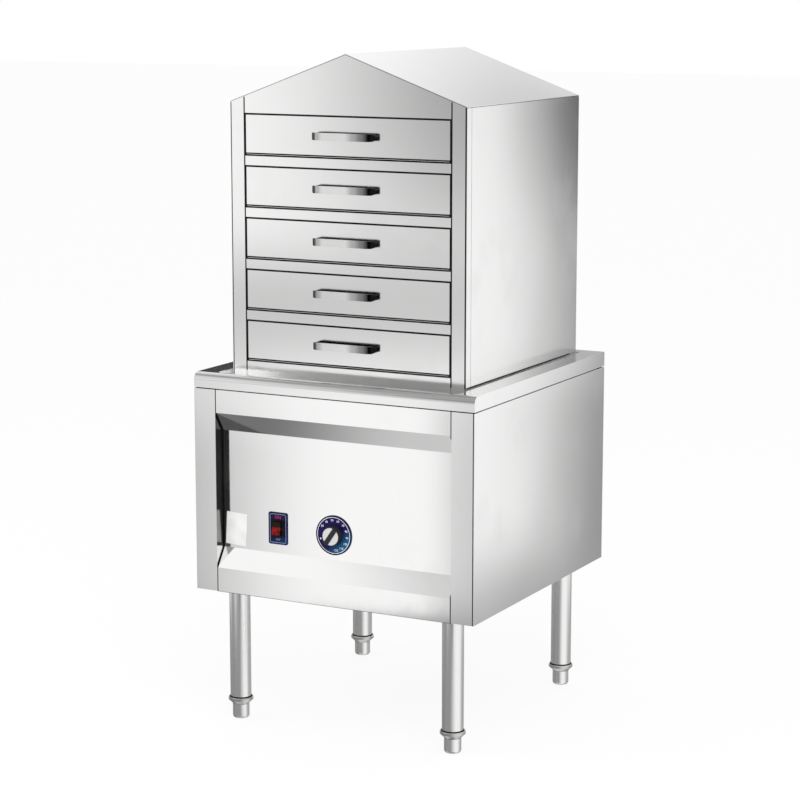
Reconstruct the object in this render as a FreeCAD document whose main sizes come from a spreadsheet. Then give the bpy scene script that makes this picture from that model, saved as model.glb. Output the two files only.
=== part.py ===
import FreeCAD, Part
import math
import os
import Sketcher

# Drawer-type steamer for rice noodle rolls: a steam cabinet of five drawers under a gable roof
# stands on an electrically heated water tank, which hangs in a sheet-metal base on four legs.
# Millimetres, +Z up, front towards -Y, origin on the floor below the middle of the base.

SIZES = {
    # base casing
    "base_width": 600.0,
    "base_depth": 600.0,
    "leg_clear": 265.0,
    "body_height": 399.0,
    "rim_height": 28.6,
    "casing_sheet": 1.2,
    "deck_sheet": 1.5,
    "shadow_gap": 2.0,
    "hairline": 0.8,
    "fit_gap": 0.3,
    "seam_flange": 18.0,
    "rear_inset": 3.0,
    "vent_length": 70.0,
    "vent_height": 6.0,
    "vent_pitch": 16.0,
    "vent_rise": 80.0,
    "vent_spread": 52.0,
    # front posts and the recessed control panel between them
    "post_face": 43.5,
    "post_depth": 32.0,
    "band_height": 47.0,
    "recess_depth": 25.0,
    "slant_height": 37.0,
    # deck and its opening
    "nosing_radius": 14.0,
    "opening_width": 518.0,
    "opening_front": 17.0,
    "opening_rear": 25.0,
    "opening_corner": 10.0,
    "joggle": 2.5,
    # water tank and the frame in it that carries the cabinet
    "tank_sheet": 1.2,
    "tank_depth": 252.0,
    "tank_front": 82.0,
    "trough_drop": 46.0,
    "trough_slope": 7.0,
    "support_drop": 20.6,
    "support_sheet": 2.0,
    "support_width": 24.0,
    "support_skirt": 18.0,
    # heating elements
    "heater_radius": 4.5,
    "heater_height": 24.0,
    "heater_inner": 45.0,
    "heater_spread": 130.0,
    "heater_rear": 60.0,
    "gland_nut": 12.0,
    "gland_nut_height": 8.0,
    "terminal_length": 14.0,
    # dial and thermostat
    "dial_left": 6.8,
    "control_height": 133.0,
    "dial_radius": 38.5,
    "dial_thickness": 2.0,
    "dial_rim": 2.6,
    "shaft_radius": 3.0,
    "shaft_clearance": 0.05,
    "bushing_radius": 5.0,
    "thermostat_width": 38.0,
    "thermostat_height": 46.0,
    "thermostat_depth": 24.0,
    "knob_radius": 19.5,
    "knob_height": 12.5,
    "knob_taper": 1.5,
    "grip_width": 7.5,
    "grip_height": 5.0,
    "grip_angle": 35.0,
    "bulb_radius": 4.0,
    "bulb_length": 90.0,
    "capillary_radius": 1.2,
    # power switch
    "switch_left": 129.5,
    "plate_width": 42.0,
    "plate_height": 63.0,
    "plate_thickness": 1.5,
    "plate_corner": 4.0,
    "bezel_width": 29.5,
    "bezel_height": 33.4,
    "bezel_proud": 1.5,
    "bezel_lip": 1.2,
    "housing_depth": 24.0,
    "rocker_width": 18.0,
    "rocker_radius": 14.3,
    "rocker_nose": 6.6,
    "rocker_valley": 1.8,
    "rocker_tilt": 10.0,
    "pivot_radius": 1.5,
    "pivot_reach": 2.5,
    # electrics, gland and drain
    "contactor_width": 45.0,
    "contactor_length": 76.0,
    "contactor_height": 82.0,
    "contactor_foot": 45.0,
    "contactor_coil": 46.0,
    "contactor_slot": 10.0,
    "contactor_slot_depth": 14.0,
    "terminal_width": 72.0,
    "terminal_depth": 22.0,
    "terminal_height": 24.0,
    "terminal_slot": 9.6,
    "terminal_slot_depth": 8.0,
    "gland_left": 190.0,
    "gland_inset": 100.0,
    "gland_radius": 11.0,
    "gland_bore": 5.0,
    "gland_length": 22.0,
    "gland_flange": 6.0,
    "gland_dome": 9.0,
    "gland_shoulder": 1.8,
    "gland_tip": 5.5,
    "gland_mouth": 6.8,
    "drain_left": 110.0,
    "drain_back": 110.0,
    "drain_radius": 10.5,
    "drain_wall": 2.0,
    "valve_radius": 15.0,
    "valve_length": 44.0,
    "valve_collar": 7.7,
    "valve_belly": 8.8,
    "spout_length": 22.0,
    "stem_radius": 4.0,
    "lever_length": 82.0,
    "lever_width": 14.0,
    "lever_sheet": 2.5,
    # legs
    "leg_radius": 20.75,
    "leg_wall": 1.5,
    "leg_inset_side": 66.5,
    "leg_inset_front": 50.0,
    "socket_height": 30.0,
    "socket_wall": 2.5,
    "foot_height": 29.0,
    "foot_radius": 16.5,
    "foot_round": 5.0,
    "collar_height": 14.0,
    "collar_radius": 24.5,
    "collar_band": 6.0,
    "plug_height": 26.0,
    "stem_thread": 6.0,
    "stem_length": 52.0,
    # steam cabinet
    "cabinet_width": 502.0,
    "cabinet_depth": 502.0,
    "cabinet_front": 64.4,
    "cabinet_height": 536.9,
    "gable_height": 91.5,
    "stile_face": 28.0,
    "stile_depth": 22.0,
    "cabinet_gap": 1.8,
    "hem_width": 18.0,
    "hem_groove": 0.5,
    "cabinet_flange": 14.0,
    # drawers
    "bottom_rail": 39.4,
    "opening_height": 81.0,
    "row_pitch": 98.6,
    "gap_side": 3.0,
    "gap_top": 2.6,
    "gap_bottom": 6.0,
    "front_depth": 12.0,
    "rail_flange": 12.0,
    "tray_sheet": 1.0,
    "tray_half": 213.0,
    "tray_length": 468.0,
    "tray_wall": 32.0,
    "tray_rise": 3.0,
    "tray_corner": 12.0,
    "tray_lip": 4.0,
    "runner_sheet": 1.5,
    "runner_reach": 46.0,
    "runner_upstand": 16.0,
    # drawer handles
    "handle_length": 135.0,
    "handle_height": 14.0,
    "handle_strap": 2.6,
    "handle_projection": 20.0,
    "handle_bend": 13.0,
    "handle_raise": 1.9,
}
DRAWER_COUNT = 5
VENT_ROWS = 5
TERMINAL_WAYS = 5
SIDES = {"left": -1, "right": 1}

doc = FreeCAD.newDocument("noodle_roll_steamer")
sheet = doc.addObject("Spreadsheet::Sheet", "Sizes")
for row, (alias, number) in enumerate(SIZES.items(), start=1):
    sheet.set(f"A{row}", alias.replace("_", " "))
    sheet.set(f"B{row}", str(number))
    sheet.setAlias(f"B{row}", alias)
doc.recompute()


class Size:
    """A length that carries its number and the spreadsheet formula that gives it."""

    def __init__(self, formula, number):
        self.formula = formula
        self.number = number

    def __add__(self, other):
        other = as_size(other)
        return Size(f"({self.formula} + {other.formula})", self.number + other.number)

    def __sub__(self, other):
        other = as_size(other)
        return Size(f"({self.formula} - {other.formula})", self.number - other.number)

    def __mul__(self, other):
        other = as_size(other)
        return Size(f"({self.formula} * {other.formula})", self.number * other.number)

    def __truediv__(self, other):
        other = as_size(other)
        return Size(f"({self.formula} / {other.formula})", self.number / other.number)

    def __neg__(self):
        return Size(f"(0 - {self.formula})", -self.number)

    def __radd__(self, other):
        return as_size(other) + self

    def __rsub__(self, other):
        return as_size(other) - self

    def __rmul__(self, other):
        return as_size(other) * self


def as_size(value):
    return value if isinstance(value, Size) else Size(repr(float(value)), float(value))


def half_turn_tangent(rise, run):
    """tan of half the angle whose tangent is rise / run: the mitre of a bend in a sheet."""
    angle = math.atan(rise.number / run.number) / 2
    return Size(f"tan(atan({rise.formula} / {run.formula}) / 2)", math.tan(angle))


def slope_stretch(rise, run):
    """1 / cos of the slope rise / run: turns a sheet's thickness into its upright height."""
    angle = math.atan(rise.number / run.number)
    return Size(f"(1 / cos(atan({rise.formula} / {run.formula})))", 1 / math.cos(angle))


class SizeTable:
    """Every cell of the sheet as a Size, read by its alias."""

    def __getattr__(self, alias):
        return Size(f"Sizes.{alias}", float(getattr(sheet, alias)))


s = SizeTable()
nodes = {}


# ---- drawing helpers -------------------------------------------------------------------------

def bind(target, path, value):
    """Set one property from a size and keep it tied to the sheet."""
    target.setExpression(path, as_size(value).formula)


def place(target, x=0, y=0, z=0):
    for axis, value in zip("xyz", (x, y, z)):
        bind(target, f"Placement.Base.{axis}", value)


def new_body(name):
    body = doc.addObject("PartDesign::Body", name)
    body.Label = name
    return body


def node(name, piece):
    """Give a finished piece its own label, under which it is exported."""
    piece.Label = name
    nodes[name] = piece
    return piece


def new_sketch(body, role, offset=0):
    """Sketch on one of the body's own origin planes, moved along the plane's normal."""
    drawing = body.newObject("Sketcher::SketchObject", body.Name + "_sketch")
    plane = next(item for item in body.Origin.OriginFeatures if item.Role == role)
    drawing.AttachmentSupport = [(plane, "")]
    drawing.MapMode = "FlatFace"
    bind(drawing, "AttachmentOffset.Base.z", offset)
    return drawing


def pin_point(drawing, edge, end, x=None, y=None):
    """Tie one end of an edge to a place measured from the sketch origin."""
    for kind, value in (("DistanceX", x), ("DistanceY", y)):
        if value is not None:
            size = as_size(value)
            index = drawing.addConstraint(Sketcher.Constraint(kind, -1, 1, edge, end, size.number))
            bind(drawing, f"Constraints[{index}]", size)


def draw_outline(drawing, corners):
    """Closed outline of straight edges; every corner is tied to the sheet."""
    corners = [(as_size(x), as_size(y)) for x, y in corners]
    first = drawing.GeometryCount
    for (x0, y0), (x1, y1) in zip(corners, corners[1:] + corners[:1]):
        start = FreeCAD.Vector(x0.number, y0.number, 0)
        end = FreeCAD.Vector(x1.number, y1.number, 0)
        drawing.addGeometry(Part.LineSegment(start, end), False)
    for index in range(len(corners)):
        after = (index + 1) % len(corners)
        drawing.addConstraint(
            Sketcher.Constraint("Coincident", first + index, 2, first + after, 1))
    for index, (x, y) in enumerate(corners):
        pin_point(drawing, first + index, 1, x, y)


def draw_rectangle(drawing, x0, y0, x1, y1):
    draw_outline(drawing, [(x0, y0), (x1, y0), (x1, y1), (x0, y1)])


def draw_circle(drawing, x, y, radius):
    x, y, radius = as_size(x), as_size(y), as_size(radius)
    circle = Part.Circle(FreeCAD.Vector(x.number, y.number, 0), FreeCAD.Vector(0, 0, 1),
                         radius.number)
    edge = drawing.addGeometry(circle, False)
    pin_point(drawing, edge, 3, x, y)
    index = drawing.addConstraint(Sketcher.Constraint("Radius", edge, radius.number))
    bind(drawing, f"Constraints[{index}]", radius)


def draw_round_ended(drawing, half_length, height):
    """Outline with two long straight sides and half-round ends, standing on the X axis."""
    height = as_size(height)
    radius = height / 2
    centre = half_length - radius
    first = drawing.GeometryCount
    low = [FreeCAD.Vector(centre.number * sign, 0, 0) for sign in (-1, 1)]
    high = [FreeCAD.Vector(corner.x, height.number, 0) for corner in reversed(low)]
    axis = FreeCAD.Vector(0, 0, 1)
    for ends, start in ((low, -math.pi / 2), (high, math.pi / 2)):
        drawing.addGeometry(Part.LineSegment(*ends), False)
        middle = FreeCAD.Vector(ends[1].x, radius.number, 0)
        circle = Part.Circle(middle, axis, radius.number)
        drawing.addGeometry(Part.ArcOfCircle(circle, start, start + math.pi), False)
    for index in range(4):
        drawing.addConstraint(
            Sketcher.Constraint("Coincident", first + index, 2, first + (index + 1) % 4, 1))
    for line, y, sign in ((first, 0, 1), (first + 2, height, -1)):
        pin_point(drawing, line, 1, centre * -sign, y)
        pin_point(drawing, line, 2, centre * sign, y)
        pin_point(drawing, line + 1, 3, x=centre * sign)


def pad(body, drawing, length, both_ways=False, backwards=False):
    feature = body.newObject("PartDesign::Pad", body.Name + "_pad")
    feature.Profile = drawing
    bind(feature, "Length", length)
    feature.SideType = "Symmetric" if both_ways else "One side"
    feature.Reversed = backwards
    drawing.Visibility = False
    return feature


def pocket(body, drawing, length=None, both_ways=False, backwards=False):
    """Cut a sketch out of the body, by a length or right through, and make sure that it bites."""
    doc.recompute()
    before = body.Shape.Volume
    feature = body.newObject("PartDesign::Pocket", body.Name + "_pocket")
    feature.Profile = drawing
    if length is None:
        feature.Type = "ThroughAll"
    else:
        bind(feature, "Length", length)
    feature.SideType = "Symmetric" if both_ways else "One side"
    feature.Reversed = backwards
    doc.recompute()
    if not body.Shape.Volume < before:
        raise RuntimeError(f"{body.Label}: a cut removes nothing")
    return feature


def revolve(body, drawing):
    """Turn a sketch in the XZ plane about the upright axis."""
    feature = body.newObject("PartDesign::Revolution", body.Name + "_revolution")
    feature.Profile = drawing
    feature.ReferenceAxis = (drawing, ["V_Axis"])
    feature.Angle = 360
    return feature


def edges_along(shape, direction, places):
    """Names of the straight edges along a direction whose middle lies at one of the places.

    A place is a mapping from x, y or z to a size; a coordinate that it leaves out may be anything.
    """
    found = []
    for index, edge in enumerate(shape.Edges, start=1):
        if not isinstance(edge.Curve, Part.Line):
            continue
        if edge.tangentAt(edge.FirstParameter).cross(direction).Length > 1e-6:
            continue
        middle = edge.CenterOfMass
        for spot in places:
            gaps = [abs(getattr(middle, axis) - as_size(value).number)
                    for axis, value in spot.items()]
            if max(gaps) < 1e-4:
                found.append(f"Edge{index}")
                break
    return found


def fillet(body, direction, places, radius, expected):
    """Round the edges found at the given places."""
    doc.recompute()
    base = body.Tip
    names = edges_along(base.Shape, direction, places)
    if len(names) != expected:
        raise RuntimeError(f"{body.Label}: {len(names)} edges to round, {expected} expected")
    feature = body.newObject("PartDesign::Fillet", body.Name + "_fillet")
    feature.Base = (base, names)
    bind(feature, "Radius", radius)
    return feature


def hollow(body, normal, thickness):
    """Shell the body inwards and leave its outermost face towards the normal open."""
    doc.recompute()
    base = body.Tip
    faces = [(face.CenterOfMass.dot(normal), f"Face{index}")
             for index, face in enumerate(base.Shape.Faces, start=1)
             if isinstance(face.Surface, Part.Plane)
             and face.normalAt(0, 0).dot(normal) > 1 - 1e-6]
    feature = body.newObject("PartDesign::Thickness", body.Name + "_shell")
    feature.Base = (base, [max(faces)[1]])
    bind(feature, "Value", thickness)
    feature.Reversed = True
    feature.Join = "Intersection"
    return feature


def compound(name, pieces):
    group = doc.addObject("Part::Compound", name)
    group.Links = pieces
    return node(name, group)


X = FreeCAD.Vector(1, 0, 0)
Y = FreeCAD.Vector(0, 1, 0)
Z = FreeCAD.Vector(0, 0, 1)

# ---- places worked out from the driving sizes --------------------------------------------------

half_width = s.base_width / 2
half_depth = s.base_depth / 2
underside = s.leg_clear
seam_height = underside + s.body_height
deck_top = seam_height + s.rim_height
casing_top = seam_height - s.shadow_gap
casing_height = casing_top - underside

post_outer = half_width - s.casing_sheet - s.shadow_gap
post_inner = post_outer - s.post_face
panel_half = post_inner - s.shadow_gap
panel_plane = -half_depth + s.recess_depth
rear_panel_y = half_depth - s.rear_inset
rear_flange_y = rear_panel_y - s.casing_sheet - s.fit_gap

opening_half = s.opening_width / 2
opening_front_y = -half_depth + s.opening_front
opening_rear_y = half_depth - s.opening_rear
deck_under = deck_top - s.deck_sheet

tank_half = opening_half + s.tank_sheet
tank_front_y = -half_depth + s.tank_front
tank_bottom = deck_top - s.tank_depth
trough_front = s.tank_depth - s.trough_drop
trough_back = trough_front - s.trough_slope
support_top = deck_top - s.support_drop

cabinet_half = s.cabinet_width / 2
cabinet_front_y = -half_depth + s.cabinet_front
cabinet_rear_y = cabinet_front_y + s.cabinet_depth
cabinet_bottom = support_top + s.fit_gap
eave_height = cabinet_bottom + s.cabinet_height
stile_outer = cabinet_half - s.casing_sheet - s.cabinet_gap
stile_inner = stile_outer - s.stile_face
frame_half = stile_inner - s.hairline
roof_drop = s.casing_sheet * slope_stretch(s.gable_height, cabinet_half)
first_opening = cabinet_bottom + s.bottom_rail
side_flange_y = cabinet_rear_y - s.casing_sheet - s.fit_gap

control_z = underside + s.control_height
switch_neck_x = s.bezel_width / 2 - s.bezel_lip
switch_neck_z = s.bezel_height / 2 - s.bezel_lip
gland_back = half_depth - s.gland_inset


def roof_height(x):
    """Height of the roof's outer face at a distance x from the ridge."""
    return eave_height + s.gable_height * (cabinet_half - x) / cabinet_half


def opening_bottom(row):
    """Lower edge of a drawer opening; row 1 is the top one."""
    return first_opening + s.row_pitch * (DRAWER_COUNT - row)


# ---- base casing -----------------------------------------------------------------------------

def make_base_post(name, side):
    """Channel behind the front corner; its inner flange is the end wall of the recess.

    The flange stops below the filling trough.
    """
    body = new_body(name)
    drawing = new_sketch(body, "XY_Plane")
    wall = s.casing_sheet
    front, back = -half_depth, -half_depth + s.post_depth
    corners = [(post_inner, back), (post_inner, front), (post_outer, front), (post_outer, back),
               (post_outer - wall, back), (post_outer - wall, front + wall),
               (post_inner + wall, front + wall), (post_inner + wall, back)]
    draw_outline(drawing, [(x * side, y) for x, y in corners])
    pad(body, drawing, casing_height)
    notch = new_sketch(body, "XZ_Plane", offset=half_depth - wall)
    low = tank_bottom + trough_back - s.shadow_gap - underside
    corners = [(post_inner - wall, low), (post_inner + wall, low),
               (post_inner + wall, casing_height + wall), (post_inner - wall, casing_height + wall)]
    draw_outline(notch, [(x * side, z) for x, z in corners])
    pocket(body, notch, length=s.post_depth)
    place(body, z=underside)
    node(name, body)


def make_side_panel(name, side):
    """Side sheet with a rear screw flange and a joggled lip that carries the deck."""
    body = new_body(name)
    wall = s.casing_sheet
    inner = half_width - wall
    flange_outer = rear_flange_y
    flange_tip = inner - s.seam_flange
    drawing = new_sketch(body, "XY_Plane")
    corners = [(half_width, -half_depth), (half_width, half_depth), (inner, half_depth),
               (inner, flange_outer), (flange_tip, flange_outer), (flange_tip, flange_outer - wall),
               (inner, flange_outer - wall), (inner, -half_depth)]
    draw_outline(drawing, [(x * side, y) for x, y in corners])
    pad(body, drawing, casing_height)
    lip = new_sketch(body, "XZ_Plane")
    lip_face = inner - s.joggle
    lip_top = casing_height + s.shadow_gap + s.rim_height - s.deck_sheet - s.fit_gap
    corners = [(inner, casing_height - wall), (inner, casing_height), (lip_face, casing_height),
               (lip_face, lip_top), (lip_face - wall, lip_top),
               (lip_face - wall, casing_height - wall)]
    draw_outline(lip, [(x * side, z) for x, z in corners])
    pad(body, lip, s.base_depth - (s.post_depth + s.fit_gap) * 2, both_ways=True)
    place(body, z=underside)
    node(name, body)


def make_rear_panel():
    """Service panel, screwed on a little inside the rear edges, with two banks of vent slots."""
    body = new_body("rear_panel")
    width = half_width - s.casing_sheet - s.fit_gap
    drawing = new_sketch(body, "XZ_Plane")
    draw_rectangle(drawing, -width, 0, width, casing_height)
    pad(body, drawing, s.casing_sheet, backwards=True)
    slots = new_sketch(body, "XZ_Plane")
    for sign in SIDES.values():
        for row in range(VENT_ROWS):
            middle = s.vent_spread * sign
            low = s.vent_rise + s.vent_pitch * row
            draw_rectangle(slots, middle - s.vent_length / 2, low, middle + s.vent_length / 2,
                           low + s.vent_height)
    pocket(body, slots, both_ways=True)
    place(body, y=rear_panel_y - s.casing_sheet, z=underside)
    node("rear_panel", body)


def leg_places():
    """Name and axis of each leg."""
    return {f"{depth}_{side}": ((half_width - s.leg_inset_side) * sign,
                                (half_depth - s.leg_inset_front) * along)
            for depth, along in (("front", -1), ("rear", 1)) for side, sign in SIDES.items()}


def make_bottom_panel():
    """Floor pan, notched round the front posts, with holes for the legs and the drain."""
    body = new_body("bottom_panel")
    wall = s.casing_sheet
    drawing = new_sketch(body, "XY_Plane")

    def pan_outline(inset):
        side = half_width - wall - s.fit_gap - inset
        notch = post_inner - s.fit_gap - inset
        front = -half_depth + wall + s.fit_gap + inset
        behind_post = -half_depth + s.post_depth + s.fit_gap + inset
        rear = rear_flange_y - wall - s.fit_gap - inset
        return [(-side, behind_post), (-notch, behind_post), (-notch, front), (notch, front),
                (notch, behind_post), (side, behind_post), (side, rear), (-side, rear)]

    draw_outline(drawing, pan_outline(as_size(0)))
    pad(body, drawing, s.seam_flange)
    hollow_out = new_sketch(body, "XY_Plane", offset=s.seam_flange)
    draw_outline(hollow_out, pan_outline(wall))
    pocket(body, hollow_out, length=s.seam_flange - wall)
    holes = new_sketch(body, "XY_Plane")
    for x, y in leg_places().values():
        draw_circle(holes, x, y, s.leg_radius + s.fit_gap)
    draw_circle(holes, -s.drain_left, s.drain_back, s.drain_radius + s.fit_gap)
    draw_circle(holes, -s.gland_left, gland_back, s.gland_dome + s.fit_gap)
    pocket(body, holes, both_ways=True)
    place(body, z=underside)
    node("bottom_panel", body)


def make_control_panel():
    """One sheet folded in four places: band, slope, recessed face, slope, band."""
    body = new_body("control_panel")
    wall = s.casing_sheet
    mitre = wall * half_turn_tangent(s.recess_depth, s.slant_height)
    upper_bend = casing_height + s.shadow_gap - s.band_height
    lower_bend = s.band_height
    bends = [(-half_depth, casing_height, 0), (-half_depth, upper_bend, 1),
             (panel_plane, upper_bend - s.slant_height, 1),
             (panel_plane, lower_bend + s.slant_height, -1), (-half_depth, lower_bend, -1),
             (-half_depth, 0, 0)]
    outer = [(y, z) for y, z, turn in bends]
    inner = [(y + wall, z + mitre * turn) for y, z, turn in reversed(bends)]
    drawing = new_sketch(body, "YZ_Plane")
    draw_outline(drawing, outer + inner)
    pad(body, drawing, panel_half * 2, both_ways=True)
    cuts = new_sketch(body, "XZ_Plane")
    draw_circle(cuts, -s.dial_left, s.control_height, s.bushing_radius + s.fit_gap)
    hole_x, hole_z = switch_neck_x + s.fit_gap, switch_neck_z + s.fit_gap
    draw_rectangle(cuts, -s.switch_left - hole_x, s.control_height - hole_z,
                   -s.switch_left + hole_x, s.control_height + hole_z)
    pocket(body, cuts, both_ways=True)
    place(body, z=underside)
    node("control_panel", body)


def make_deck():
    """Worktop pressed from one sheet, with a rolled front edge and a rounded opening."""
    body = new_body("deck")
    drawing = new_sketch(body, "XY_Plane")
    draw_rectangle(drawing, -half_width, -half_depth, half_width, half_depth)
    pad(body, drawing, s.rim_height)
    fillet(body, X, [{"y": -half_depth, "z": s.rim_height}], s.nosing_radius, 1)
    hollow(body, -Z, s.deck_sheet)
    opening = new_sketch(body, "XY_Plane")
    draw_rectangle(opening, -opening_half, opening_front_y, opening_half, opening_rear_y)
    pocket(body, opening, both_ways=True)
    corners = [{"x": x, "y": y} for x in (-opening_half, opening_half)
               for y in (opening_front_y, opening_rear_y)]
    fillet(body, Z, corners, s.opening_corner, 4)
    place(body, z=seam_height)
    node("deck", body)


# ---- water tank ------------------------------------------------------------------------------

def heater_lines():
    """Distance from the middle of each leg of the hairpin elements."""
    return [s.heater_inner, s.heater_inner + s.heater_spread]


def make_water_tank():
    """Welded tank under the deck; its front steps out into a shallow filling trough."""
    body = new_body("water_tank")
    front = opening_front_y - s.tank_sheet
    rear = opening_rear_y + s.tank_sheet
    height = s.tank_depth - s.deck_sheet
    drawing = new_sketch(body, "YZ_Plane")
    draw_outline(drawing, [(front, height), (front, trough_front), (tank_front_y, trough_back),
                           (tank_front_y, 0), (rear, 0), (rear, height)])
    pad(body, drawing, tank_half * 2, both_ways=True)
    corners = [{"x": x, "y": y} for x in (-tank_half, tank_half)
               for y in (front, tank_front_y, rear)]
    fillet(body, Z, corners, s.opening_corner + s.tank_sheet, 6)
    hollow(body, Z, s.tank_sheet)
    wall_holes = new_sketch(body, "XZ_Plane", offset=-tank_front_y)
    for x in heater_lines():
        for sign in SIDES.values():
            draw_circle(wall_holes, x * sign, s.heater_height, s.heater_radius + s.fit_gap)
    draw_circle(wall_holes, -s.dial_left, s.heater_height * 2, s.capillary_radius + s.fit_gap)
    pocket(body, wall_holes, length=s.tank_sheet * 4, both_ways=True)
    drain = new_sketch(body, "XY_Plane")
    draw_circle(drain, -s.drain_left, s.drain_back, s.drain_radius - s.drain_wall)
    pocket(body, drain, length=s.tank_sheet * 4, both_ways=True)
    place(body, z=tank_bottom)
    node("water_tank", body)


def make_support_frame():
    """Ring of angle welded into the tank; the steam cabinet stands on its top face."""
    body = new_body("support_frame")
    side = opening_half - s.fit_gap
    front = cabinet_front_y - s.support_width / 2
    rear = opening_rear_y - s.fit_gap
    drawing = new_sketch(body, "XY_Plane")
    draw_rectangle(drawing, -side, front, side, rear)
    pad(body, drawing, s.support_skirt)
    fillet(body, Z, [{"x": x, "y": rear} for x in (-side, side)], s.opening_corner, 2)
    hollow(body, -Z, s.support_sheet)
    window = new_sketch(body, "XY_Plane")
    draw_rectangle(window, -side + s.support_width, front + s.support_width,
                   side - s.support_width, rear - s.support_width)
    pocket(body, window, both_ways=True)
    place(body, z=support_top - s.support_skirt)
    node("support_frame", body)


def make_heater(sign):
    """Hairpin heating element that enters through two hexagonal glands in the tank wall."""
    side = "left" if sign < 0 else "right"
    body = new_body(f"heater_{side}")
    near, far = heater_lines()
    start = tank_front_y - s.gland_nut_height - s.terminal_length
    radius = (far - near) / 2
    turn = opening_rear_y - s.heater_rear - radius
    middle = (near + far) / 2
    path = body.newObject("Sketcher::SketchObject", "heater_path")
    plane = next(item for item in body.Origin.OriginFeatures if item.Role == "XY_Plane")
    path.AttachmentSupport = [(plane, "")]
    path.MapMode = "FlatFace"
    low_x, high_x = (near * sign, far * sign) if sign > 0 else (far * sign, near * sign)
    centre = FreeCAD.Vector(middle.number * sign, turn.number, 0)
    left_run = path.addGeometry(Part.LineSegment(
        FreeCAD.Vector(low_x.number, start.number, 0),
        FreeCAD.Vector(low_x.number, turn.number, 0)), False)
    right_run = path.addGeometry(Part.LineSegment(
        FreeCAD.Vector(high_x.number, turn.number, 0),
        FreeCAD.Vector(high_x.number, start.number, 0)), False)
    bend = path.addGeometry(Part.ArcOfCircle(
        Part.Circle(centre, Z, radius.number), 0, math.pi), False)
    path.addConstraint(Sketcher.Constraint("Coincident", bend, 2, left_run, 2))
    path.addConstraint(Sketcher.Constraint("Coincident", bend, 1, right_run, 1))
    pin_point(path, left_run, 1, low_x, start)
    pin_point(path, left_run, 2, low_x, turn)
    pin_point(path, right_run, 1, high_x, turn)
    pin_point(path, right_run, 2, high_x, start)
    pin_point(path, bend, 3, y=turn)
    section = new_sketch(body, "XZ_Plane", offset=-start)
    draw_circle(section, low_x, 0, s.heater_radius)
    doc.recompute()
    pipe = body.newObject("PartDesign::AdditivePipe", "heater_tube")
    pipe.Profile = section
    pipe.Spine = (path, [f"Edge{index}" for index in (1, 3, 2)])
    nuts = new_sketch(body, "XZ_Plane", offset=-tank_front_y + s.fit_gap)
    for x in (low_x, high_x):
        hexagon = [(x + s.gland_nut * math.cos(math.radians(angle)),
                    s.gland_nut * math.sin(math.radians(angle))) for angle in range(0, 360, 60)]
        draw_outline(nuts, hexagon)
    pad(body, nuts, s.gland_nut_height)
    place(body, z=tank_bottom + s.heater_height)
    return body


# ---- controls --------------------------------------------------------------------------------

def turned_to_front(piece, x, y, z):
    """Stand a piece that was turned about +Z on the panel, so that its +Z points to the front."""
    piece.Placement = FreeCAD.Placement(FreeCAD.Vector(), FreeCAD.Rotation(X, 90))
    place(piece, x, y, z)


def make_thermostat():
    """Capillary thermostat behind the panel, its sensor bulb in the tank and its spindle."""
    inner_face = panel_plane + s.casing_sheet
    body = new_body("thermostat_body")
    case = new_sketch(body, "XZ_Plane", offset=-inner_face - s.fit_gap)
    draw_rectangle(case, -s.thermostat_width / 2, -s.thermostat_height / 2,
                   s.thermostat_width / 2, s.thermostat_height / 2)
    pad(body, case, s.thermostat_depth, backwards=True)
    bushing = new_sketch(body, "XZ_Plane", offset=-inner_face - s.fit_gap)
    draw_circle(bushing, 0, 0, s.bushing_radius)
    pad(body, bushing, s.casing_sheet + s.dial_thickness)
    bore = new_sketch(body, "XZ_Plane", offset=-panel_plane + s.dial_thickness * 3)
    draw_circle(bore, 0, 0, s.shaft_radius + s.shaft_clearance)
    pocket(body, bore, length=s.dial_thickness * 3 + s.thermostat_depth / 2)
    place(body, x=-s.dial_left, z=control_z)
    node("thermostat_body", body)

    shaft = new_body("thermostat_shaft")
    round_bar = new_sketch(shaft, "XY_Plane")
    draw_circle(round_bar, 0, 0, s.shaft_radius)
    reach = s.dial_thickness + s.knob_height / 2
    pad(shaft, round_bar, reach + s.thermostat_depth / 3)
    flat = new_sketch(shaft, "XY_Plane", offset=reach + s.thermostat_depth / 3)
    draw_rectangle(flat, s.shaft_radius / 2, -s.shaft_radius * 2, s.shaft_radius * 2,
                   s.shaft_radius * 2)
    pocket(shaft, flat, length=s.knob_height / 2)
    turned_to_front(shaft, -s.dial_left, panel_plane + s.thermostat_depth / 3, control_z)
    node("thermostat_shaft", shaft)

    sensor = new_body("thermostat_bulb")
    case_back = inner_face + s.fit_gap + s.thermostat_depth
    rise_y = (case_back + tank_front_y) / 2
    bulb_start = tank_front_y + s.tank_sheet + s.bulb_radius * 3
    bulb_z = tank_bottom + s.heater_height * 2
    path = new_sketch(sensor, "YZ_Plane")
    corners = [(case_back, control_z), (rise_y, control_z), (rise_y, bulb_z), (bulb_start, bulb_z)]
    draw_bent_path(path, corners, s.bulb_radius * 1.5)
    section = new_sketch(sensor, "XZ_Plane", offset=-case_back)
    draw_circle(section, 0, control_z, s.capillary_radius)
    doc.recompute()
    pipe = sensor.newObject("PartDesign::AdditivePipe", "capillary")
    pipe.Profile = section
    pipe.Spine = (path, [f"Edge{index}" for index in range(1, 6)])
    bulb = new_sketch(sensor, "XZ_Plane", offset=-bulb_start)
    draw_circle(bulb, 0, bulb_z, s.bulb_radius)
    pad(sensor, bulb, s.bulb_length, backwards=True)
    place(sensor, x=-s.dial_left)
    node("thermostat_bulb", sensor)


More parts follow.
